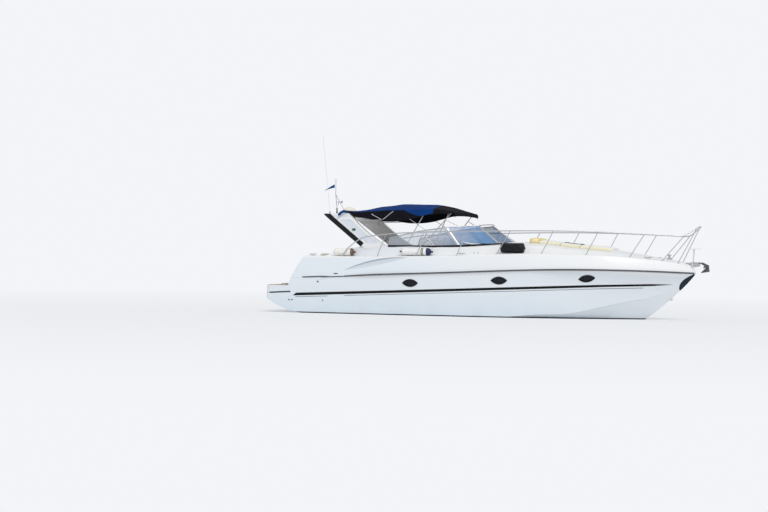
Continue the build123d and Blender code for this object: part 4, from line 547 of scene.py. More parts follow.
class Shape:
    """Points and faces that grow into one mesh, each face with its finish."""

    def __init__(self, *finishes):
        self.finishes = finishes
        self.spot = Matrix()
        self.verts = []
        self.faces = []
        self.marks = []

    def at(self, spot):
        """What follows is drawn in this place's own directions."""
        self.spot = spot
        return self

    def add(self, verts, faces, mark=0):
        base = len(self.verts)
        self.verts += [self.spot @ Vector(v) for v in verts]
        self.faces += [tuple(base + i for i in face) for face in faces]
        self.marks += [mark] * len(faces)
        return self

    def net(self, rows, mark=0, close=False, ends=False):
        """Skin over rows of points; close joins a row's ends, ends shuts the first and last row."""
        count = len(rows[0])
        faces = grid_faces(len(rows), count, close)
        if ends:
            last = (len(rows) - 1) * count
            faces.append(tuple(range(count))[::-1])
            faces.append(tuple(range(last, last + count)))
        return self.add([p for row in rows for p in row], faces, mark)

    def tube(self, path, radius, mark=0, sides=12):
        """Round bar along a path, of one radius or of one for each point."""
        points = [Vector(p) for p in path]
        rows = []
        side = None
        for i, point in enumerate(points):
            way = (points[min(i + 1, len(points) - 1)] - points[max(i - 1, 0)]).normalized()
            side = way.orthogonal() if side is None else side
            side = (side - way * side.dot(way)).normalized()
            up = way.cross(side)
            r = radius[i] if isinstance(radius, (list, tuple)) else radius
            rows.append([point + (side * math.cos(a) + up * math.sin(a)) * r for a in turns(sides)])
        return self.net(rows, mark, close=True, ends=True)

    def lathe(self, foot, way, profile, mark=0, sides=28):
        """Turned form: its profile is (distance along, radius) from the foot."""
        way = Vector(way).normalized()
        side = way.orthogonal().normalized()
        up = way.cross(side)
        out = [side * math.cos(t) + up * math.sin(t) for t in turns(sides)]
        rows = [[Vector(foot) + way * a + ray * r for ray in out] for a, r in profile]
        return self.net(rows, mark, close=True, ends=True)

    def box(self, low, high, round=0.004, mark=0):
        """Block with bevelled edges."""
        mesh = bmesh.new()
        bmesh.ops.create_cube(mesh, size=1)
        low, high = Vector(low), Vector(high)
        for vert in mesh.verts:
            vert.co = (low + high) / 2 + Vector(a * b for a, b in zip(vert.co, high - low))
        bmesh.ops.bevel(
            mesh, geom=list(mesh.edges), offset=round, segments=2, affect="EDGES", profile=0.5,
        )
        mesh.verts.index_update()
        self.add([v.co for v in mesh.verts], [[v.index for v in f.verts] for f in mesh.faces], mark)
        mesh.free()
        return self

    def make(self, name, body="boat", angle=35):
        """The mesh as a named object on a body."""
        mesh = bpy.data.meshes.new(name)
        mesh.from_pydata(self.verts, [], self.faces)
        for finish in self.finishes:
            mesh.materials.append(finish.data)
        mesh.polygons.foreach_set("material_index", self.marks)
        mesh.shade_smooth()
        mesh.set_sharp_from_angle(angle=math.radians(angle))
        mesh.update()
        obj = bpy.data.objects.new(name, mesh)
        SCENE.collection.objects.link(obj)
        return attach(obj, body)


def modify(obj, kind, **settings):
    """Adds a modifier and applies it."""
    mod = obj.modifiers.new(kind, kind)
    for key, value in settings.items():
        setattr(mod, key, value)
    graph = bpy.context.evaluated_depsgraph_get()
    mesh = bpy.data.meshes.new_from_object(obj.evaluated_get(graph))
    obj.modifiers.clear()
    obj.data = mesh
    return obj


def surface_of(mesh):
    """A mesh's surface, for finding points on it."""
    return BVHTree.FromPolygons([v.co for v in mesh.vertices], [p.vertices for p in mesh.polygons])


HULL = surface_of(NODES["hull"].data)
DECK = surface_of(NODES["deck"].data)


def drop(surface, x, y, start=6.0):
    """Point of a surface under a point of the plan, and its direction."""
    spot, way, _, _ = surface.ray_cast(Vector((x, y, start)), Vector((0, 0, -1)))
    return spot, way if way.z > 0 else -way


def beside(surface, x, z, side):
    """Point of a surface seen from one side at x and z, and its direction."""
    spot, way, _, _ = surface.ray_cast(Vector((x, side * 4, z)), Vector((0, -side, 0)))
    if spot is None:
        return None, None
    return spot, way if way.y * side > 0 else -way


def curve(p, q, into, out, t):
    """Smooth curve from p to q that leaves along into and arrives along out, at share t."""
    return (
        p * (1 + 2 * t) * (1 - t) ** 2 + q * t * t * (3 - 2 * t)
        + into * t * (1 - t) ** 2 - out * t * t * (1 - t)
    )


def smooth_row(rows, x):
    """A row of a table at any x, on smooth curves through its rows."""
    i = max(k for k in range(len(rows) - 1) if rows[k][0] <= x or k == 0)
    low, high = rows[i], rows[i + 1]
    before = rows[max(i - 1, 0)]
    after = rows[min(i + 2, len(rows) - 1)]
    run = high[0] - low[0]
    t = min(1, max(0, (x - low[0]) / run))
    values = []
    for k in range(1, len(low)):
        into = (high[k] - before[k]) / (high[0] - before[0]) * run
        out = (after[k] - low[k]) / (after[0] - low[0]) * run
        values.append(curve(low[k], high[k], into, out, t))
    return values


# The canopy: one cloth over four bows, with painted shade, near black, on its flank, nose and
# underside

# x, the edge's height, half width there, the shoulder's height and half width, the crown's height
CANOPY = [
    (-4.090, 3.105, 1.270, 3.150, 1.200, 3.175),
    (-3.850, 3.000, 1.300, 3.130, 1.235, 3.230),
    (-3.400, 2.915, 1.345, 3.150, 1.270, 3.310),
    (-2.900, 2.845, 1.370, 3.185, 1.290, 3.385),
    (-2.250, 2.880, 1.370, 3.205, 1.290, 3.420),
    (-1.500, 3.065, 1.350, 3.240, 1.275, 3.390),
    (-1.150, 3.100, 1.340, 3.225, 1.265, 3.345),
    (-0.880, 3.110, 1.325, 3.180, 1.255, 3.245),
    (-0.680, 3.115, 1.310, 3.145, 1.245, 3.170),
]
BOWS = (-4.085, -3.31, -2.65, -1.60, -0.80, -0.685)
# Ahead of this x the whole canopy carries painted shade
BLUE_ENDS = -1.36
FRONT_LIP = [
    (0.010, 0.003), (0.019, 0.012), (0.023, 0.028), (0.023, 0.050),
    (0.021, 0.075), (0.017, 0.100), (0.012, 0.125),
]
LIP_RIPPLE = 0.004
CLOTH = 0.003
CANOPY_STEPS, CANOPY_INSET = 170, 0.003
HEM = 0.0055
SEAM, SEAM_LIFT = 0.0026, 0.0012
# Where the flank's painted shade drops from the shoulder towards the edge
SHADE_DROPS, SHADE_DROPS_OVER = -2.3, 0.65
SHOULDER_ROLL = 0.045
SAG, RIPPLE, CREASE, PUCKER = 0.016, 0.003, 0.0015, 0.006
EYELETS = ((-3.31, 3.054), (-2.65, 3.14))
EYELET = [(0, 0.009), (0.003, 0.011), (0.004, 0.019), (0.001, 0.023), (-0.002, 0.023)]


def shade_line(x, edge_z, shoulder_z):
    """Height under which the canopy carries painted shade at x."""
    share = min(1, max(0, (x - SHADE_DROPS) / SHADE_DROPS_OVER))
    return shoulder_z - 0.004 + share * (edge_z - 0.02 - shoulder_z)


def canopy_row(x):
    """Half section of the cloth at x: flank, rolled shoulder and crown, from edge to middle."""
    edge_z, half_y, shoulder_z, shoulder_y, crown_z = smooth_row(CANOPY, x)
    rise = max(crown_z - shoulder_z, 0.02)
    radius = (shoulder_y ** 2 + rise ** 2) / (2 * rise)
    reach = math.asin(shoulder_y / radius)

    def crown(share):
        turn = share * reach
        return Vector((x, radius * math.sin(turn), crown_z - radius * (1 - math.cos(turn))))

    edge = Vector((x, half_y, edge_z))
    shoulder = Vector((x, shoulder_y, shoulder_z))
    roll = min(SHOULDER_ROLL, (edge - shoulder).length * 0.45)
    low = shoulder + (edge - shoulder).normalized() * roll
    top = 1 - roll / shoulder_y
    high = crown(top)
    row = [edge.lerp(low, i / 8) for i in range(8)]
    for t in [i / 6 for i in range(6)]:
        row.append(low * (1 - t) ** 2 + shoulder * 2 * t * (1 - t) + high * t * t)
    row += [crown(top * (1 - i / 16)) for i in range(17)]
    return row, edge_z, shoulder_z


def canopy_point(x, point, across):
    """A point of the cloth, sagging between the bows and puckered at the edge."""
    bow = max(b for b in BOWS if b <= x or b == BOWS[0])
    ahead = BOWS[min(BOWS.index(bow) + 1, len(BOWS) - 1)]
    span = max(ahead - bow, 0.01)
    dip = math.sin(math.pi * min(1, max(0, (x - bow) / span))) ** 2
    top = max(0, 1 - across ** 4)
    ripple = noise.noise(Vector((x * 3.1, point.y * 2.2, 4.0)))
    crease = noise.noise(Vector((x * 9, point.y * 3 + point.z * 7, 9.0)))
    sag = dip * top * (SAG * min(1, span / 0.6)) + RIPPLE * ripple + CREASE * crease
    pucker = noise.noise(Vector((x * 7, point.z * 3, 2.0))) - 0.4 * dip
    flare = (1 - top) * PUCKER * pucker
    return Vector((point.x, point.y + math.copysign(flare, point.y), point.z - abs(sag)))


def longest(lines):
    """Length of the longest of some lines of points."""
    return max(sum((a - b).length for a, b in zip(line, line[1:])) for line in lines)


def area_of(obj):
    return sum(p.area for p in obj.data.polygons)


def make_canopy():
    """The canopy cloth with its lip drawn down in front, and its hem, seams and eyelets."""
    start, stop, count = CANOPY[0][0] + CANOPY_INSET, CANOPY[-1][0] - CANOPY_INSET, CANOPY_STEPS
    rows, painted_shade = [], []
    for i in range(count + 1):
        x = start + (stop - start) * i / count
        half, edge_z, shoulder_z = canopy_row(x)
        whole = half + [Vector((p.x, -p.y, p.z)) for p in half[-2::-1]]
        row = [canopy_point(x, p, abs(p.y) / half[0].y) for p in whole]
        rows.append(row)
        # Painted shade: below the shade line and ahead of BLUE_ENDS; the front lip is all in it
        flank = shade_line(x, edge_z, shoulder_z)
        painted_shade += [max(flank - p.z, (x - BLUE_ENDS) * 0.6) for p in row]
    front = rows[-1]
    for ahead, down in FRONT_LIP:
        ripples = [LIP_RIPPLE * noise.noise(Vector((p.y * 4, down * 9, 1.0))) for p in front]
        rows.append([p + Vector((ahead + r, 0, -down)) for p, r in zip(front, ripples)])
        painted_shade += [1.0] * len(front)
    cloth = Shape(CANOPY_BLUE, CANVAS_BLACK_AND_SHADE).net(rows).make("canopy_cloth", angle=60)
    line = cloth.data.attributes.new("painted_shade", "FLOAT", "POINT")
    line.data.foreach_set("value", painted_shade)
    # Second finish on the underside and rims: painted shade
    modify(cloth, "SOLIDIFY", thickness=CLOTH, offset=-1, material_offset=1, material_offset_rim=1)
    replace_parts(cloth, "canopy")

    hem = Shape(CANVAS_BLACK_AND_SHADE)
    for edge in ([row[0] for row in rows], [row[-1] for row in rows], rows[0], rows[-1]):
        hem.tube(edge[::2], HEM, sides=8)
    trim = hem.make("canopy_hem")

    seams = Shape(CANVAS_BLACK_AND_SHADE, CANVAS)
    for bow in BOWS[1:5]:
        i = round((bow - start) / (stop - start) * count)
        for shift in (-1, 1):
            path = [p + Vector((0, 0, SEAM_LIFT)) for p in rows[i + shift][10:-10]]
            # Seams ahead of BLUE_ENDS take the near-black finish of the painted shade
            seams.tube(path, SEAM, 0 if bow > BLUE_ENDS else 1, sides=6)
    stitched = seams.make("canopy_seams")

    eyes = Shape(STEEL)
    for side, _ in SIDES[::-1]:
        for x, z in EYELETS:
            half, _, _ = canopy_row(x)
            y = min(half, key=lambda p: abs(p.z - z)).y
            eyes.lathe((x, y * side, z), (0, side, 0.2), EYELET, sides=20)
    longest(rows)
    longest(zip(*rows))
    eyes.make("canopy_eyelets")


# The furled aft curtain

TIES = (-0.54, -0.28, 0, 0.28, 0.54)
TIE_RADIUS = 0.0375
ROLL_TURNS, ROLL_STEPS = 2.6, 60
ROLL_CORE, ROLL_THICK = 0.010, 0.034
ROLL_PATH = [
    (-4.182, 0.00, 3.136), (-4.182, 0.40, 3.136), (-4.182, 0.80, 3.136), (-4.184, 1.16, 3.136),
    (-4.200, 1.32, 3.142), (-4.236, 1.425, 3.125), (-4.290, 1.474, 3.075), (-4.345, 1.487, 3.015),
]


def roll_place(share):
    """Middle of the roll and its two cross directions, from its starboard end to its port one."""
    side = 1 if share > 0 else -1
    at = abs(share) * (len(ROLL_PATH) - 1)
    i = min(int(at), len(ROLL_PATH) - 2)
    points = [Vector((x, y * side, z)) for x, y, z in ROLL_PATH]
    p, q = points[i], points[i + 1]
    into = (q - points[i - 1]) / 2 if i else q - p
    out = (points[min(i + 2, len(points) - 1)] - p) / 2
    spot = curve(p, q, into, out, at - i)
    way = (into.lerp(out, at - i)).normalized() * side
    across = Vector((1, 0, 0)) - way * way.x
    across.normalize()
    return spot, across, way.cross(across)


def make_roll():
    """The furled curtain: a spiral of cloth, pinched by its ties."""
    rows = []
    for i in range(141):
        share = -1 + 2 * i / 140
        spot, across, up = roll_place(share)
        pinch = min(1, min(abs(share - tie) for tie in TIES) / 0.07)
        full = 0.80 + 0.20 * pinch * (2 - pinch) + 0.05 * noise.noise(Vector((share * 8, 0, 7)))
        full *= 1 - 0.22 * max(0, (abs(share) - 0.9) / 0.1)
        row = []
        for k in range(ROLL_STEPS + 1):
            t = k / ROLL_STEPS
            r = (ROLL_CORE + ROLL_THICK * t) * full
            a = math.tau * ROLL_TURNS * t + 0.6 + 0.2 * noise.noise(Vector((share * 6, t, 5)))
            row.append(spot + across * r * math.cos(a) + up * r * math.sin(a))
        rows.append(row)
    cloth = Shape(CANVAS).net(rows).make("aft_curtain", angle=70)
    area = area_of(cloth)
    wide = longest([row[k] for row in rows] for k in (0, ROLL_STEPS // 2, ROLL_STEPS))
    modify(cloth, "SOLIDIFY", thickness=0.002, offset=0)
    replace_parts(cloth, "canopy_roll")
    straps = Shape(CANVAS_BLACK_AND_SHADE)
    for tie in TIES:
        for shift in (-0.003, 0.003):
            spot, across, up = roll_place(tie + shift)
            round_it = [across * math.cos(a) + up * math.sin(a) for a in turns(24, True)]
            straps.tube([spot + way * TIE_RADIUS for way in round_it], 0.0035, sides=6)
    max(longest(rows), area / wide)
    straps.make("curtain_ties")


# Upholstery

def islands_of(mesh):
    """The separate closed forms of a mesh, each as its points and faces."""
    form = bmesh.new()
    form.from_mesh(mesh)
    bmesh.ops.remove_doubles(form, verts=form.verts, dist=1e-5)
    form.verts.ensure_lookup_table()
    left = set(form.verts)
    parts = []
    while left:
        queue = [left.pop()]
        part = set(queue)
        while queue:
            for edge in queue.pop().link_edges:
                for vert in edge.verts:
                    if vert in left:
                        left.discard(vert)
                        part.add(vert)
                        queue.append(vert)
        order = {v: i for i, v in enumerate(sorted(part, key=lambda v: v.index))}
        faces = {f for v in part for f in v.link_faces}
        parts.append((
            [v.co.copy() for v in order],
            [[order[v] for v in f.verts] for f in sorted(faces, key=lambda f: f.index)],
        ))
    form.free()
    parts.sort(key=lambda p: tuple(sum(p[0], Vector()) / len(p[0])))
    return parts


def shrink(points, by):
    """Draws a form in by a fixed distance on every side but its bottom."""
    low, high = corners_of(points)
    middle = (low + high) / 2
    size = high - low
    scaled = []
    for p in points:
        q = [middle[k] + (p[k] - middle[k]) * (1 - 2 * by / size[k]) for k in range(3)]
        q[2] = low[2] + (p[2] - low[2]) * (1 - by / size[2])
        scaled.append(Vector(q))
    return scaled


def corners_of(points):
    """Low and high corner of some points."""
    return [Vector(end(p[k] for p in points) for k in range(3)) for end in (min, max)]


def fill_pads(pads, voxel, cap):
    """Remeshes the pads evenly and lets cloth pressure swell them, none by more than cap."""
    for pad in pads:
        modify(pad, "REMESH", mode="VOXEL", voxel_size=voxel, use_smooth_shade=True)
    starts = [[v.co.copy() for v in pad.data.vertices] for pad in pads]
    for pad in pads:
        cloth = pad.modifiers.new("swell", "CLOTH").settings
        cloth.use_pressure = True
        cloth.uniform_pressure_force = 4
        cloth.effector_weights.gravity = 0
        cloth.quality = 4
        cloth.mass = 0.4
        cloth.tension_stiffness = 12
        cloth.compression_stiffness = 12
        cloth.bending_stiffness = 0.4
    for step in range(1, 21):
        SCENE.frame_set(step)
    graph = bpy.context.evaluated_depsgraph_get()
    shapes = [
        [v.co.copy() for v in pad.evaluated_get(graph).to_mesh().vertices] for pad in pads
    ]
    for pad, start, shape in zip(pads, starts, shapes):
        pad.modifiers.clear()
        low = min(p.z for p in start)
        for vert, a, b in zip(pad.data.vertices, start, shape):
            move = b - a
            held = min(1, max(0, (a.z - low) / 0.03))
            move.z *= held
            if move.length > cap:
                move *= cap / move.length
            vert.co = a + move
    SCENE.frame_set(1)


def sew(pad, channels, depth, width):
    """Presses sewn channels into all of a pad but its underside; a channel is (axis, place)."""
    pad.data.update()
    normals = [v.normal.copy() for v in pad.data.vertices]
    for vert, way in zip(pad.data.vertices, normals):
        if way.z >= -0.4:
            dents = [math.exp(-((vert.co[axis] - at) / width) ** 2) for axis, at in channels]
            vert.co = vert.co - way * depth * max(dents, default=0)


CHANNEL_STEP = 0.42


def cushion_channels(low, high):
    """Sewn lines across a cushion, about every 0.4 m of its longer side."""
    axis = 0 if high.x - low.x > high.y - low.y else 1
    run = high[axis] - low[axis]
    count = max(2, round(run / CHANNEL_STEP))
    return [(axis, low[axis] + run * k / count) for k in range(1, count)]


def make_cushions():
    """Cockpit cushions, swollen and sewn across."""
    pads, channels = [], []
    for n, (points, faces) in enumerate(islands_of(NODES["cockpit_cushions"].data)):
        pad = Shape(CREAM).add(shrink(points, 0.009), faces)
        pads.append(pad.make(f"cushion_{n + 1}", angle=180))
        channels.append(cushion_channels(*corners_of(points)))
    fill_pads(pads, voxel=0.022, cap=0.013)
    for pad, lines in zip(pads, channels):
        sew(pad, lines, depth=0.012, width=0.011)
        modify(pad, "SUBSURF", levels=1)
        pad.data.shade_smooth()
        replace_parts(pad, "cockpit_cushions")


PAD_CUTS_X = (1.79, 2.45, 3.05)
PAD_CUTS_Y = (-0.30, 0.30)


def cut_parts(mesh, cuts):
    """Splits a closed form at planes into closed forms with a narrow gap between them."""
    parts = [mesh]
    for axis, at in cuts:
        new = []
        for part in parts:
            for sign in (1, -1):
                form = part.copy()
                way = Vector((0, 0, 0))
                way[axis] = sign
                spot = Vector((0, 0, 0))
                spot[axis] = at - sign * 0.002
                cut = bmesh.ops.bisect_plane(
                    form, geom=list(form.verts) + list(form.edges) + list(form.faces),
                    dist=1e-6, plane_co=spot, plane_no=way, clear_outer=True,
                )
                edges = [e for e in cut["geom_cut"] if isinstance(e, bmesh.types.BMEdge)]
                if edges:
                    bmesh.ops.holes_fill(form, edges=edges, sides=0)
                if len(form.faces) > 3:
                    new.append(form)
                else:
                    form.free()
        parts = new
    return parts


def make_sun_pad():
    """The sun pad: a bolster and nine panels, each swollen on its own."""
    form = bmesh.new()
    form.from_mesh(NODES["sun_pad"].data)
    bmesh.ops.remove_doubles(form, verts=form.verts, dist=1e-5)
    head, rest = cut_parts(form, [(0, PAD_CUTS_X[0])])
    head, rest = sorted((head, rest), key=lambda f: min(v.co.x for v in f.verts))
    cuts = [(0, x) for x in PAD_CUTS_X[1:]] + [(1, y) for y in PAD_CUTS_Y]
    parts = [head] + cut_parts(rest, cuts)
    pads = []
    for n, part in enumerate(parts):
        points = [v.co.copy() for v in part.verts]
        part.verts.index_update()
        faces = [[v.index for v in f.verts] for f in part.faces]
        finish = PAD_YELLOW if n == 0 else PAD_WHITE
        name = "sun_pad_bolster" if n == 0 else f"sun_pad_panel_{n}"
        pads.append(Shape(finish).add(shrink(points, 0.005), faces).make(name, angle=180))
        part.free()
    fill_pads(pads, voxel=0.016, cap=0.014)
    for pad in pads:
        modify(pad, "SUBSURF", levels=1)
        pad.data.shade_smooth()
        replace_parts(pad, "sun_pad")


# Fenders, lying on the starboard side deck

# Name, place, length, radius, skin, fore end and its length, nose, the aft end's mark, bands
FENDERS = [
    ("fender_aft", (-4.060, -1.708), 0.770, 0.118, FENDER_CREAM, FENDER_BROWN, 0.16, 0.13, 0, ()),
    ("fender_mid", (-1.730, -1.765), 1.060, 0.112, FENDER_WHITE, FENDER_NAVY, 0.205, 0.13, 3,
     (0.165, 0.205)),
    ("fender_fore", (1.250, -1.720), 0.800, 0.150, FENDER_BLACK, FENDER_BLACK, 0.05, 0.04, 0, ()),
]
FENDER_END = 0.19
FENDER_GAP = 0.008
FENDER_NECK = 0.032
AFT_TIP = 0.085
FENDER_EYE = [
    (0.002, 0.010), (0.006, 0.020), (0.022, 0.024), (0.026, 0.028), (0.034, 0.028), (0.038, 0.023),
]
FENDER_BAND = [(0, 0.0004), (0.003, 0.0018), (0.024, 0.0018), (0.027, 0.0004)]


def fender_outline(half, r, nose):
    """Half of a turned fender from its eye to its middle: (distance from the middle, radius)."""
    start = half - nose * 0.36 - 0.02
    stop = half - nose - 0.05
    rows = [(half - back, eye) for back, eye in FENDER_EYE] + [(start, 0.026)]
    for i in range(9):
        a = math.pi / 2 * i / 8
        at = start - (start - stop) * (1 - math.cos(a))
        rows.append((at, FENDER_NECK + (r - FENDER_NECK) * math.sin(a)))
    return rows


def cut_outline(rows, at):
    """Splits an outline at a distance: the part beyond it and the part before it."""
    for (a, ra), (b, rb) in zip(rows, rows[1:]):
        if b <= at <= a:
            r = ra + (rb - ra) * (a - at) / max(a - b, 1e-9)
            i = rows.index((b, rb))
            return rows[:i] + [(at, r)], [(at, r)] + rows[i:]
    return rows + [(at, rows[-1][1])], [(at, rows[-1][1])]


def make_fenders():
    """Three inflated fenders with moulded eyes, coloured ends and bands."""
    for name, (x, y), length, r, skin, end, end_long, nose, aft_mark, bands in FENDERS:
        half = length / 2
        reach = half - FENDER_END
        top = max(drop(DECK, at, y)[0].z for at in (x - reach, x, x + reach))
        centre = Vector((x, y, top + r + FENDER_GAP))
        shape = Shape(skin, end, FENDER_GREY, FENDER_BLACK)
        outline = fender_outline(half, r, nose)
        for way, tip_long, mark in ((1, end_long, 1), (-1, AFT_TIP, aft_mark)):
            tip, rest = cut_outline(outline, half - tip_long)
            shape.lathe(centre, (way, 0, 0), tip[::-1], mark, 40)
            shape.lathe(centre, (way, 0, 0), [(0, r)] + rest[::-1], 0, 40)
        for at in bands:
            rows = [(at + on, r + out) for on, out in FENDER_BAND]
            shape.lathe(centre, (1, 0, 0), rows, 2, 40)
        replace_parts(shape.make(name, angle=40), "fenders")


# Stripes and bands on the topsides

# Heights and widths of the bands at x
MAIN_STRIPE = [
    (-6.3, 0.545), (-5.54, 0.576), (-2.33, 0.718), (0.93, 0.867), (3.82, 0.997), (5.80, 1.065),
]
STRIPE_TALL = [
    (-5.66, 0.088), (-5.10, 0.085), (-1.50, 0.076), (2.60, 0.074), (5.25, 0.058), (5.80, 0.004),
]
MAIN_RUN = (-5.63, 5.80)
SLANT, SLANT_RUN = -0.06, 0.3
BAND_OUT, BAND_STEP = 0.0016, 0.06
PIN_RUNS = [(-5.60, -4.53), (-3.98, 5.00)]
PIN_DROP, PIN_TALL = 0.083, 0.016
PLATFORM_STRIPE = [(-6.585, 0.600), (-6.20, 0.626), (-5.76, 0.650)]
PLATFORM_TALL = 0.045
SHEER_FROM, SHEER_HEIGHT = 1.2, 1.410
SHEER_RISE, SHEER_BEND = 0.0475, 0.00907
LIP_RUN = (-4.4, 6.16)
LIP_DROP, LIP_TALL, LIP_WIDER = 0.036, 0.022, 0.058
LIP_WIDENS, LIP_WIDENS_OVER = 3.2, 2.6


def along(table, x):
    """Value of a two-column table at x, on straight lines."""
    for (x0, a), (x1, b) in zip(table, table[1:]):
        if x <= x1 or x1 == table[-1][0]:
            return a + (b - a) * min(1, max(0, (x - x0) / (x1 - x0)))


def band(shape, side, run, height, tall, slant=0.0):
    """A band laid on the topside; height and tall are functions of x, slant leans its aft end."""
    start, stop = run
    steps = max(6, round((stop - start) / BAND_STEP))
    rows = []
    for i in range(steps + 1):
        x = start + (stop - start) * i / steps
        row = []
        for share in (-1, -0.4, 0.4, 1):
            lean = slant * share * max(0, 1 - (x - start) / SLANT_RUN)
            spot, way = beside(HULL, x - lean, height(x) + tall(x) / 2 * share, side)
            row.append(spot + way * BAND_OUT)
        rows.append(row if side < 0 else row[::-1])
    return shape.net(rows)


def make_stripes():
    """The main stripe, the pin stripe under it and the platform's own, on both sides."""
    def middle(x):
        return along(MAIN_STRIPE, x)

    for side, word in SIDES:
        main = band(Shape(STRIPE), side, MAIN_RUN, middle, lambda x: along(STRIPE_TALL, x), SLANT)
        main.make("main_stripe_" + word)
        pin = Shape(PIN_GREY)
        for run in PIN_RUNS:
            band(pin, side, run, lambda x: middle(x) - PIN_DROP, lambda x: PIN_TALL)
        pin.make("pin_stripe_" + word)
        low = band(
            Shape(PLAT_GREY), side, (PLATFORM_STRIPE[0][0], PLATFORM_STRIPE[-1][0]),
            lambda x: along(PLATFORM_STRIPE, x), lambda x: PLATFORM_TALL,
        )
        low.make("platform_stripe_" + word)


def sheer(x):
    """Height of the rub rail's middle at x: straight aft of SHEER_FROM, bent down ahead of it."""
    ahead = x - SHEER_FROM
    return SHEER_HEIGHT + SHEER_RISE * ahead - SHEER_BEND * max(0, ahead) ** 2


def make_lip():
    """White moulded lip under the rub rail, widening to the stem."""
    start, stop = LIP_RUN
    for side, word in SIDES:
        rows = []
        for i in range(61):
            x = start + (stop - start) * i / 60
            share = min(1, max(0, (x - LIP_WIDENS) / LIP_WIDENS_OVER))
            tall = LIP_TALL + LIP_WIDER * share ** 1.4
            section = ((0, 0.001), (0.004, 0.008), (tall * 0.6, 0.007), (tall, 0.0005))
            hits = [beside(HULL, x, sheer(x) - LIP_DROP - down, side) for down, _ in section]
            if all(spot is not None for spot, _ in hits):
                row = [spot + way * out for (spot, way), (_, out) in zip(hits, section)]
                rows.append(row[::-1] if side < 0 else row)
        Shape(LIP_WHITE).net(rows).make("sheer_lip_" + word, angle=50)


# Where the sill runs outside the console's shoulders, its foot and the foot of the glass
SILL_LINE = [
    (-0.26, 1.443), (-0.20, 1.428), (-0.10, 1.413), (0.08, 1.409),
    (0.17, 1.388), (0.24, 1.343), (0.29, 1.287),
]
SILL_FOOT = ((-0.26, 2.104), (0.30, 2.150))
PANE_FOOT = ((-0.30, 1.434), (0.30, 1.260))
SILL_TALL, SILL_THICK = 0.052, 0.004
SILL_CREST, SILL_RISE = 2.196, 0.066

TAIL_AFT, TAIL_FORE, TAIL_LONG = -5.34, -4.70, 0.66
TAIL_HEIGHT, TAIL_RISE, TAIL_HALF = 1.132, 0.045, 0.020
TAIL_SECTION = (
    (-1, -0.004), (-0.8, 0.010), (-0.3, 0.016), (0.3, 0.016), (0.8, 0.010), (1, -0.004),
)
GUARD_SPAN = (0.900, 1.385)
GUARD_OUT = 0.004

DRAINS = (
    (-5.823, 0.399, 0.022), (-5.725, 0.401, 0.022), (-4.826, 0.974, 0.026), (-4.70, 0.40, 0.02),
)
DRAIN_RIM = [(-0.004, 1.3), (0.002, 1.32), (0.007, 1.15), (0.008, 0.9), (0.002, 0.78)]
# Black disk in each drain's mouth: painted shade of the hole
DRAIN_HOLE_SHADE = [(0.001, 0.8), (0.003, 0.76)]
VENT = (-4.222, 1.228)
LAMPS_AT, LAMPS_HEIGHT = (0.045, 0.155), 1.92


def make_sill_strips():
    """Black moulding that carries the windscreen's sill on round the console's shoulders."""
    strip = Shape(BLACK)
    for side, _ in SIDES:
        rows = []
        for x, y in SILL_LINE:
            foot, crest = along(SILL_FOOT, x), SILL_CREST + SILL_RISE * x
            inner = side * min(along(PANE_FOOT, x), y - SILL_THICK)
            outer = side * y
            rows.append([
                (x, outer, foot), (x, outer, foot + SILL_TALL), (x, inner, crest), (x, inner, foot),
            ])
        strip.net(rows[::side], 0, close=True, ends=True)
    strip.make("sill_strips")


def make_rail_tails():
    """Moulded grey ends of the rub rail, from where the rail stops to the quarter."""
    for side, word in SIDES:
        rows = []
        for i in range(25):
            x = TAIL_AFT + TAIL_LONG * i / 24
            z = TAIL_HEIGHT + (x - TAIL_FORE) * TAIL_RISE
            row = []
            for share, out in TAIL_SECTION:
                hits = [beside(surface, x, z + TAIL_HALF * share, side) for surface in (HULL, DECK)]
                spot = max((hit[0] for hit in hits if hit[0] is not None), key=lambda p: p.y * side)
                row.append(spot + Vector((0, side, 0)) * out * min(1, 0.2 + i / 6))
            rows.append(row if side < 0 else row[::-1])
        Shape(RAIL_GREY).net(rows, ends=True).make("rail_tail_" + word, angle=50)


def make_stem_guard():
    """Dark almond plate wrapped round the stem."""
    rows = []
    foot, head = GUARD_SPAN
    for i in range(25):
        t = i / 24
        z = foot + (head - foot) * t
        stem = HULL.ray_cast(Vector((9, 0, z)), Vector((-1, 0, 0)))[0].x
        wide = 0.005 + 0.20 * math.sin(math.pi * (0.04 + 0.94 * t)) ** 0.75 * (0.75 + 0.35 * t)
        row = []
        for k in range(-10, 11):
            if k == 0:
                row.append(Vector((stem + GUARD_OUT, 0, z)))
                continue
            spot, way = beside(HULL, stem - wide * abs(k) / 10, z, 1 if k > 0 else -1)
            row.append(spot + way * (GUARD_OUT if abs(k) < 10 else 0.0004))
        rows.append(row)
    guard = Shape(GUARD_DARK).net(rows).make("stem_plate", angle=50)
    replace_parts(guard, "stem_guard")


def for_radius(rows, r):
    """A turned profile for a radius, from a table of (distance along, share of the radius)."""
    return [(a, r * share) for a, share in rows]


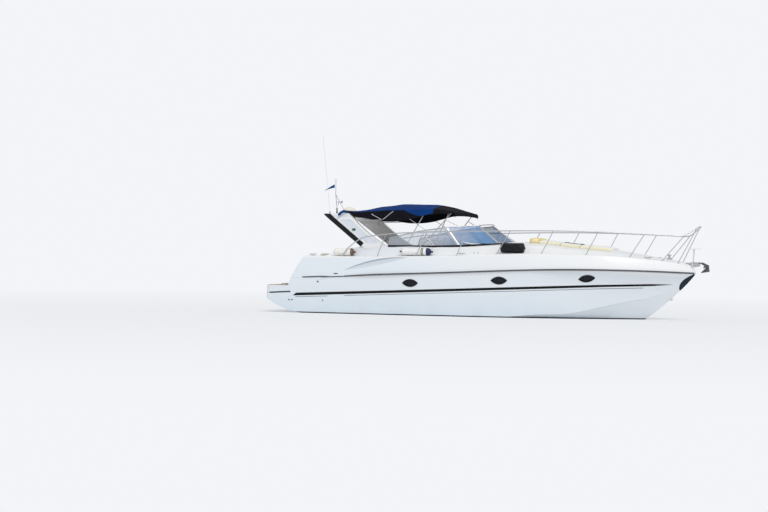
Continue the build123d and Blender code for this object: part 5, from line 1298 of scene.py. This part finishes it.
def make_skin_fittings():
    """Drains with painted shade in their mouths, the engine room's vent and the coaming's little
    lamps, on both sides.
    """
    for side, word in SIDES:
        drains = Shape(STEEL, BLACK)
        for x, z, r in DRAINS:
            spot, way = beside(HULL, x, z, side)
            drains.lathe(spot, way, for_radius(DRAIN_RIM, r), 0, 24)
            # Painted shade: a black disk in the drain's mouth
            drains.lathe(spot, way, for_radius(DRAIN_HOLE_SHADE, r), 1, 24)
        drains.make("drains_" + word)
        vent = Shape(BLACK).at(facing(*beside(DECK, *VENT, side)))
        vent.box((-0.065, -0.014, -0.004), (0.065, 0.014, 0.005), 0.003)
        for k in range(5):
            x = -0.05 + 0.025 * k
            vent.box((x - 0.008, -0.009, 0.003), (x + 0.008, 0.009, 0.0075), 0.0015)
        vent.make("engine_vent_" + word)
        lamps = Shape(STEEL, LAMP)
        for x in LAMPS_AT:
            lamps.at(facing(*beside(DECK, x, LAMPS_HEIGHT, side)))
            lamps.box((-0.022, -0.022, -0.004), (0.022, 0.022, 0.006), 0.003)
            lamps.box((-0.016, -0.016, 0.004), (0.016, 0.016, 0.0085), 0.002, 1)
        lamps.make("coaming_lamps_" + word)


# Arch, mast and bows

ARCH = surface_of(NODES["arch"].data)
HORN_BELL = [
    (0, 0.012), (0.05, 0.014), (0.10, 0.018), (0.14, 0.027),
    (0.165, 0.040), (0.172, 0.043), (0.170, 0.038),
]
LAMP_POST = [
    (0, 0.034), (0.006, 0.036), (0.012, 0.022), (0.13, 0.016), (0.14, 0.030), (0.15, 0.032),
]
LAMP_DOME = [(0, 0.028), (0.03, 0.028), (0.045, 0.018), (0.048, 0.006)]
PENNANT_AT = (-4.787, -0.62, 3.945)
PENNANT_LONG, PENNANT_TALL, PENNANT_TIP = 0.34, 0.105, 0.002
PENNANT_DROOP = 0.15
PENNANT_FLAT = (0.107, 0.385)
CLAMPS = (
    ((-2.95, 1.395, 2.885), (1, 0, 0)),
    ((-3.31, 1.236, 3.10), (0, 0, 1)),
    ((-2.65, 1.246, 3.14), (0, 0, 1)),
)
CLAMP = [(0, 0.016), (0.003, 0.0185), (0.053, 0.0185), (0.056, 0.016)]
BOW_FEET, BOW_FEET_ASIDE = (-2.15, -1.65), 1.455
SOCKET = [(0, 0.020), (0.014, 0.019), (0.030, 0.0165), (0.034, 0.0150)]


def inside_leg(x, z, side):
    """Point of a leg's inner face, seen from the middle of the boat."""
    return ARCH.ray_cast(Vector((x, 0, z)), Vector((0, side, 0)))[0]


def make_arch_fittings():
    """Side lights on the legs, and lamps and speakers inside them."""
    for side, word in SIDES:
        lens = GREEN_LENS if side < 0 else RED_LENS
        light = Shape(BLACK, lens).at(facing(*beside(ARCH, -3.845, 2.585, side)))
        light.box((-0.055, -0.032, -0.004), (0.055, 0.032, 0.014), 0.006)
        light.box((-0.045, -0.024, 0.010), (0.012, 0.024, 0.030), 0.008, 1)
        light.box((0.016, -0.026, 0.010), (0.048, 0.026, 0.026), 0.005)
        light.make("side_light_" + word)
        spot, way = inside_leg(-3.965, 2.809, side), (0, -side, 0)
        lamp = Shape(STEEL, LAMP)
        lamp.lathe(spot, way, [(-0.002, 0.040), (0.006, 0.042), (0.011, 0.036), (0.009, 0.030)])
        lamp.lathe(spot, way, [(0.004, 0.031), (0.012, 0.026), (0.015, 0.012)], 1)
        lamp.make("arch_lamp_" + word)
        spot = inside_leg(-3.75, 2.35, side)
        speaker = Shape(BLACK, STEEL)
        rim = [(-0.002, 0.078), (0.008, 0.080), (0.014, 0.072), (0.008, 0.062)]
        cone = [(0.002, 0.063), (0.010, 0.055), (0.004, 0.022), (0.012, 0.014)]
        speaker.lathe(spot, way, rim, 1, 36)
        speaker.lathe(spot, way, cone, 0, 36)
        speaker.make("speaker_" + word)


def make_mast_fittings():
    """Horn with painted shade in its mouth, small lamp and pennant on the light mast."""
    horn = Shape(STEEL, BLACK)
    foot = Vector((-4.628, -0.60, 3.451))
    horn.lathe(foot + Vector((-0.08, 0, 0)), (1, 0, 0), HORN_BELL)
    # Painted shade: a black disk inside the bell's mouth
    horn.lathe(foot + Vector((0.083, 0, 0)), (1, 0, 0), [(0, 0.036), (0.002, 0.036)], 1)
    horn.tube([foot + Vector((-0.03, 0, -0.10)), foot + Vector((-0.03, 0, -0.005))], 0.009)
    horn.make("mast_horn")

    lamp = Shape(BLACK, LAMP)
    base = Vector((-4.602, -0.90, 3.087))
    lamp.lathe(base, (0, 0, 1), LAMP_POST, 0, 24)
    lamp.lathe(base + Vector((0, 0, LAMP_POST[-1][0])), (0, 0, 1), LAMP_DOME, 1, 24)
    lamp.make("deck_lamp")

    hoist, fly = PENNANT_FLAT
    x0, y0, z0 = PENNANT_AT
    rows = []
    for i in range(25):
        t = i / 24
        tall = PENNANT_TALL * (1 - t) + PENNANT_TIP
        x = x0 - PENNANT_LONG * t
        z = z0 - PENNANT_DROOP * t ** 1.3
        y = y0 + 0.016 * math.sin(7 * t) * t
        rows.append([
            (x, y + 0.006 * math.sin(5 * s + 8 * t) * t, z + tall * (s - 0.5))
            for s in [k / 8 for k in range(9)]
        ])
    flag = Shape(CANVAS).net(rows).make("pennant", angle=80)
    area = area_of(flag)
    max(fly, area / hoist)


def make_radome_seam():
    """Seam band round the radome."""
    low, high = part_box("radome")
    middle = (low + high) / 2
    middle.z = low.z + (high.z - low.z) * 0.40
    dome = surface_of(NODES["radome"].data)
    ring = []
    for a in turns(48, True):
        way = Vector((math.cos(a), math.sin(a), 0))
        ring.append(dome.ray_cast(middle + way * 0.6, -way)[0] + way * 0.0005)
    Shape(RAIL_GREY).tube(ring, 0.0025, sides=6).make("radome_seam")


def make_frame_knuckles():
    """Clamps where the canopy's tubes meet, and hinges where its bows stand."""
    joints = Shape(BLACK, STEEL)
    for side, _ in SIDES[::-1]:
        for (x, y, z), way in CLAMPS:
            foot = Vector((x, y * side, z)) - Vector(way) * 0.028
            joints.lathe(foot, way, CLAMP, 0, 20)
        for x in BOW_FEET:
            spot, way = drop(DECK, x, BOW_FEET_ASIDE * side, start=2.6)
            joints.at(facing(spot, way, (1, 0, 0)))
            joints.box((-0.030, -0.020, -0.002), (0.030, 0.020, 0.006), 0.002, 1)
            joints.lathe((0, 0, 0.004), (0, 0, 1), SOCKET, 1, 20)
            for a in (-0.023, 0.023):
                joints.lathe((a, 0, 0.005), (0, 0, 1), [(0, 0.004), (0.002, 0.003)], 1, 12)
            joints.at(Matrix())
    joints.make("canopy_clamps")


# Helm

# Ways that the dash and the pod above it face, and where the dash's two columns stand
DASH = (-0.806, 0, 0.592)
POD = (-0.549, 0, 0.836)
DASH_COLUMNS = (-1.235, -0.500)
DIAL_BEZEL = [(-0.002, 1), (0.006, 1.02), (0.010, 0.94), (0.009, 0.86), (0.004, 0.84)]
THROTTLE_KNOB = [(0, 0.007), (0.006, 0.013), (0.020, 0.016), (0.034, 0.012), (0.040, 0.004)]


def dial(shape, spot, way, r):
    """A gauge: bright bezel, black face, white marks and needle."""
    shape.at(facing(spot, way))
    shape.lathe((0, 0, 0), (0, 0, 1), for_radius(DIAL_BEZEL, r), 0, 32)
    shape.lathe((0, 0, 0), (0, 0, 1), [(0.001, r * 0.85), (0.0045, r * 0.84)], 1, 32)

    def ray(degrees, wide):
        """Unit direction of a mark on the face, and half its width across."""
        a = math.radians(degrees)
        across = Vector((-math.sin(a), math.cos(a), 0)) * r * wide
        return Vector((math.cos(a), math.sin(a), 0)), across

    lift = Vector((0, 0, 0.005))
    for k in range(11):
        way_out, across = ray(225 - 27 * k, 0.02)
        inner, outer = way_out * (r * 0.62) + lift, way_out * (r * 0.76) + lift
        corners = [inner - across, outer - across, outer + across, inner + across]
        shape.add(corners, [(0, 1, 2, 3)], 2)
    way_out, across = ray(200, 0.03)
    lift = Vector((0, 0, 0.006))
    shape.add([way_out * r * 0.66 + lift, across + lift, lift - across], [(0, 1, 2)], 3)
    shape.lathe((0, 0, 0.005), (0, 0, 1), [(0, r * 0.09), (0.002, r * 0.08)], 0, 16)
    shape.at(Matrix())


def make_helm():
    """Gauges, switches, throttles and compass on the console, and the wheel's cap."""
    gauges = Shape(STEEL, BLACK, WHIP, RED_LENS)
    for k in range(6):
        dial(gauges, (-1.040, -1.285 + 0.128 * k, 2.3180), POD, 0.046)
    for y in DASH_COLUMNS:
        dial(gauges, (-1.315, y, 1.870), DASH, 0.062)
    gauges.make("gauges")

    panel = Shape(BLACK, WHIP)
    for y in DASH_COLUMNS:
        panel.at(facing((-1.377, y, 1.785), DASH))
        panel.box((-0.085, -0.028, -0.002), (0.085, 0.028, 0.004), 0.002)
        for k in range(5):
            x = -0.066 + 0.033 * k
            panel.box((x - 0.010, -0.016, 0.003), (x + 0.010, 0.016, 0.008), 0.002)
            panel.box((x - 0.003, 0.006, 0.0075), (x + 0.003, 0.009, 0.0086), 0.0005, 1)
    panel.make("switch_panels")

    lever = Shape(STEEL, BLACK).at(facing((-1.345, -0.655, 1.828), DASH))
    lever.box((-0.040, -0.055, -0.002), (0.040, 0.055, 0.026), 0.008, 1)
    for x in (-0.022, 0.022):
        path = [(x, 0.0, 0.018), (x, 0.014, 0.060), (x, 0.030, 0.105)]
        lever.tube(path, [0.008, 0.006, 0.006])
        lever.lathe((x, 0.030, 0.100), (0, 0.35, 0.94), THROTTLE_KNOB, 1, 20)
    lever.make("throttles")

    compass = Shape(BLACK, LAMP)
    top = Vector((-0.86, -0.86, 2.3755))
    bowl = [(-0.003, 0.062), (0.010, 0.060), (0.026, 0.050), (0.030, 0.046)]
    compass.lathe(top, (0, 0, 1), bowl, 0, 32)
    quarter = [math.pi / 2 * k / 8 for k in range(8)]
    dome = [(0.028 + 0.040 * math.sin(a), 0.044 * math.cos(a)) for a in quarter]
    compass.lathe(top, (0, 0, 1), [(0.024, 0.046)] + dome, 1, 32)
    compass.make("compass")

    axis = Vector((-0.9063, 0, 0.4226))
    centre = Vector((-1.50, -0.86, 1.86))
    cap = [(0, 0.034), (0.006, 0.036), (0.014, 0.030), (0.020, 0.016), (0.022, 0.004)]
    Shape(STEEL).lathe(centre + axis * 0.012, axis, cap, 0, 32).make("wheel_cap", "steering_wheel")


# Doors, lids and their fittings

RING_CUP = [(-0.002, 0.8), (0.002, 0.82), (0.004, 0.76), (0.003, 0.62), (0.0012, 0.60)]
DOOR_FRAME = (
    (-0.09, 0.57, 1.16, 1.20), (-0.09, 0.57, 1.98, 2.02),
    (-0.09, -0.05, 1.20, 1.98), (0.53, 0.57, 1.20, 1.98),
)
HATCH_KNOBS = (
    (2.535, [(0, 0.020), (0.006, 0.021), (0.010, 0.017), (0.011, 0.008)], 1),
    (2.970, [(0, 0.022), (0.006, 0.023), (0.011, 0.018), (0.012, 0.006)], 0),
)
BAR_KNOB = [(0, 0.017), (0.003, 0.018), (0.006, 0.012), (0.007, 0.004)]
SEAT_KNOB = [(0, 0.016), (0.003, 0.017), (0.006, 0.011), (0.007, 0.004)]


def hinge(shape, spot, way, along_way):
    """Butt hinge laid on a surface, its knuckle along along_way."""
    wide, tall = 0.06, 0.022
    shape.at(facing(spot, way, along_way))
    shape.box((-tall, -wide / 2, -0.001), (tall, wide / 2, 0.003), 0.001)
    knuckle = [(0, 0.004), (0.001, 0.0055), (wide - 0.001, 0.0055), (wide, 0.004)]
    shape.lathe((0, -wide / 2, 0.003), (0, 1, 0), knuckle, 0, 14)
    for x in (-tall * 0.6, tall * 0.6):
        for y in (-wide * 0.3, wide * 0.3):
            shape.lathe((x, y, 0.0028), (0, 0, 1), [(0, 0.0036), (0.0012, 0.0028)], 0, 10)
    shape.at(Matrix())


def flush_ring(shape, spot, way, up=(1, 0, 0), wide=0.045):
    """Flush lifting ring in its cup."""
    shape.at(facing(spot, way, up))
    shape.lathe((0, 0, 0), (0, 0, 1), for_radius(RING_CUP, wide), 0, 28)
    r = wide * 0.48
    shape.tube([(r * math.cos(a), r * math.sin(a), 0.005) for a in turns(24, True)], 0.0035, 0, 8)
    shape.at(Matrix())


def make_door_fittings():
    """The cabin door's frame and handle, the gate's hinges and latch, the lids' rings and knobs."""
    door = Shape(STEEL)
    for y0, y1, z0, z1 in DOOR_FRAME:
        door.box((0.2705, y0, z0), (0.2765, y1, z1), 0.002)
    pull = ((0.276, 1.52), (0.252, 1.535), (0.252, 1.665), (0.276, 1.68))
    door.tube([(x, -0.02, z) for x, z in pull], 0.008)
    door.make("door_frame", "cabin_door")

    gate = Shape(STEEL)
    for z in (1.22, 1.585):
        hinge(gate, (-5.3005, 1.280, z), (-1, 0, 0), (0, 0, 1))
    gate.box((-5.314, 0.80, 1.50), (-5.2995, 0.86, 1.53), 0.004)
    gate.tube([(-5.306, 0.83, 1.515), (-5.327, 0.83, 1.515), (-5.330, 0.87, 1.515)], 0.006)
    gate.make("gate_latch", "transom_gate")

    hatch = Shape(STEEL)
    for y in (-0.45, 0.45):
        flush_ring(hatch, (-3.06, y, 1.1402), (0, 0, 1))
    hatch.make("engine_hatch_rings", "engine_hatch")

    lid = Shape(STEEL)
    flush_ring(lid, *drop(surface_of(NODES["locker_lid"].data), 5.36, 0.0), (0, 1, 0), 0.030)
    lid.make("locker_ring", "locker_lid")

    knobs = Shape(STEEL, BLACK)
    pane = surface_of(NODES["deck_hatch"].data)
    for y in (-0.14, 0.14):
        for x, profile, mark in HATCH_KNOBS:
            spot, way = drop(pane, x, y)
            knobs.lathe(spot - way * 0.002, way, profile, mark, 24)
    knobs.make("deck_hatch_knobs", "deck_hatch")


def make_bar_fittings():
    """Cupboard doors with knobs and vents, and the lid's handle, on the wet bar."""
    bar = Shape(MOULDED, STEEL, BLACK)
    for x0, x1, x in ((-3.52, -3.15, -3.20), (-3.11, -2.74, -3.06)):
        bar.box((x0, 0.890, 1.22), (x1, 0.9015, 1.90), 0.006)
        bar.lathe((x, 0.8905, 1.62), (0, -1, 0), BAR_KNOB, 1, 20)
        for k in range(6):
            z = 1.27 + 0.022 * k
            bar.box((x0 + 0.08, 0.8875, z), (x1 - 0.08, 0.8915, z + 0.010), 0.0018, 2)
    bar.make("bar_doors")
    ends = [(-3.20, 2.0175), (-3.20, 2.026), (-3.06, 2.026), (-3.06, 2.0175)]
    handle = Shape(STEEL).tube([(x, 0.915, z) for x, z in ends], 0.005)
    handle.make("bar_handle", "wet_bar_lid")


def make_seat_fittings():
    """Locker doors with their knobs in the seat fronts."""
    settee = Shape(MOULDED, STEEL)
    for y0, y1 in ((-1.32, -0.76), (-0.70, -0.04), (0.02, 0.60)):
        settee.box((-4.5205, y0, 1.20), (-4.5120, y1, 1.46), 0.006)
        settee.lathe((-4.5125, y1 - 0.06, 1.40), (1, 0, 0), SEAT_KNOB, 1, 20)
    settee.make("settee_lockers")
    helm = Shape(MOULDED, STEEL)
    helm.box((-2.5685, -1.26, 1.22), (-2.5590, -0.50, 1.58), 0.006)
    helm.lathe((-2.5680, -0.56, 1.50), (-1, 0, 0), SEAT_KNOB, 1, 20)
    helm.make("helm_seat_locker")


# Stern and deck hardware

FILLERS = ((-3.35, -1.80, 0.040), (-3.10, -1.80, 0.030), (-3.35, 1.80, 0.040), (-3.10, 1.80, 0.030))
FILLER_RIM = [(-0.002, 1), (0.003, 1.02), (0.006, 0.9), (0.005, 0.7)]
ANODE_AT = (-5.05, 0.30)


def make_deck_fittings():
    """Fillers on the side decks."""
    caps = Shape(STEEL, BLACK)
    for x, y, r in FILLERS:
        spot, way = drop(DECK, x, y, start=2.4)
        caps.lathe(spot, way, for_radius(FILLER_RIM, r), 0, 32)
        caps.lathe(spot, way, [(0.003, r * 0.72), (0.0065, r * 0.68)], 0, 32)
        caps.at(facing(spot + way * 0.006, way, (1, 0, 0)))
        caps.box((-r * 0.5, -0.004, -0.001), (r * 0.5, 0.004, 0.003), 0.001, 1)
        caps.at(Matrix())
    caps.make("fillers")


def make_anodes():
    """An anode with two bolts on each side of the bottom."""
    for side, word in SIDES:
        under = Vector((ANODE_AT[0], ANODE_AT[1] * side, -3))
        spot, way, _, _ = HULL.ray_cast(under, Vector((0, 0, 1)))
        way = way if way.z < 0 else -way
        anode = Shape(ZINC, STEEL).at(facing(spot, way, (1, 0, 0)))
        anode.box((-0.035, -0.085, -0.003), (0.035, 0.085, 0.022), 0.008)
        for y in (-0.055, 0.055):
            anode.lathe((0, y, 0.020), (0, 0, 1), [(0, 0.010), (0.005, 0.009)], 1, 6)
        anode.make("anode_" + word)


def make_windlass_cap():
    """The cap on the windlass's drum."""
    foot = (5.640, 0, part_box("windlass")[1].z - 0.002)
    profile = [(0, 0.030), (0.006, 0.028), (0.010, 0.012), (0.011, 0.004)]
    Shape(STEEL).lathe(foot, (0, 0, 1), profile, 0, 24).make("windlass_cap")


# The studio

SKY = (0.896, 0.913, 0.939)
SOFT_LIGHT = 0.70
SUN = 1.25
SUN_FROM = (0.42, -0.52, 0.74)
SUN_BREADTH = 24
FLOOR_HALF = 420
FLOOR_FADES = (7.0, 38.0)


def make_floor():
    """Pale floor at the water's level: it keeps the shadow near by and meets the sky far off."""
    floor = Mat("floor", "floor", (0.86, 0.87, 0.88), 0.9)
    half = FLOOR_HALF
    corners = [(-half, -half, 0), (half, -half, 0), (half, half, 0), (-half, half, 0)]
    mesh = bpy.data.meshes.new("floor")
    mesh.from_pydata(corners, [], [(0, 1, 2, 3)])
    mesh.materials.append(floor.data)
    obj = bpy.data.objects.new("floor", mesh)
    SCENE.collection.objects.link(obj)
    out = next(n for n in floor.tree.nodes if n.type == "OUTPUT_MATERIAL")
    seen = floor.node("ShaderNodeLightPath", out="Is Camera Ray")
    glow = floor.node("ShaderNodeEmission", None, {"Color": (*SKY, 1), "Strength": 1.0})
    far = floor.node("ShaderNodeVectorMath", {"operation": "LENGTH"}, [floor.place()], out="Value")
    share = floor.ramp(far, *FLOOR_FADES) * 0.68 + 0.32
    plain = Val(floor, floor.shader.outputs[0])
    mixed = floor.node("ShaderNodeMixShader", None, {0: seen * share, 1: plain, 2: glow})
    floor.tree.links.new(mixed.socket, out.inputs["Surface"])


def make_sky():
    """Pale sky: one strength for the camera, a softer one for the light it gives and for what metal
    reflects.
    """
    world = bpy.data.worlds.new("world")
    SCENE.world = world
    world.use_nodes = True
    tree = world.node_tree
    back = next(n for n in tree.nodes if n.type == "BACKGROUND")
    back.inputs["Color"].default_value = (*SKY, 1)
    paths = tree.nodes.new("ShaderNodeLightPath")
    strength = tree.nodes.new("ShaderNodeMix")
    strength.data_type = "FLOAT"
    tree.links.new(paths.outputs["Is Camera Ray"], strength.inputs[0])
    strength.inputs[2].default_value = SOFT_LIGHT
    strength.inputs[3].default_value = 1.0
    tree.links.new(strength.outputs[0], back.inputs["Strength"])


def make_sun():
    """Soft high light from the quarter."""
    data = bpy.data.lights.new("soft_sun", "SUN")
    data.energy = SUN
    data.angle = math.radians(SUN_BREADTH)
    data.color = (1.0, 0.985, 0.96)
    lamp = bpy.data.objects.new("soft_sun", data)
    SCENE.collection.objects.link(lamp)
    turned = Vector(SUN_FROM).to_track_quat("Z", "Y").to_matrix().to_4x4()
    lamp.matrix_world = Matrix.Translation((-7, -11, 16)) @ turned


make_camera()
dress_nodes()
make_stripes()
make_lip()
make_sill_strips()
make_rail_tails()
make_stem_guard()
make_skin_fittings()
make_canopy()
make_roll()
make_cushions()
make_sun_pad()
make_fenders()
make_arch_fittings()
make_mast_fittings()
make_radome_seam()
make_frame_knuckles()
make_helm()
make_door_fittings()
make_bar_fittings()
make_seat_fittings()
make_deck_fittings()
make_anodes()
make_windlass_cap()
make_floor()
make_sky()
make_sun()
SCENE.view_settings.view_transform = "Standard"

bpy.context.view_layer.update()
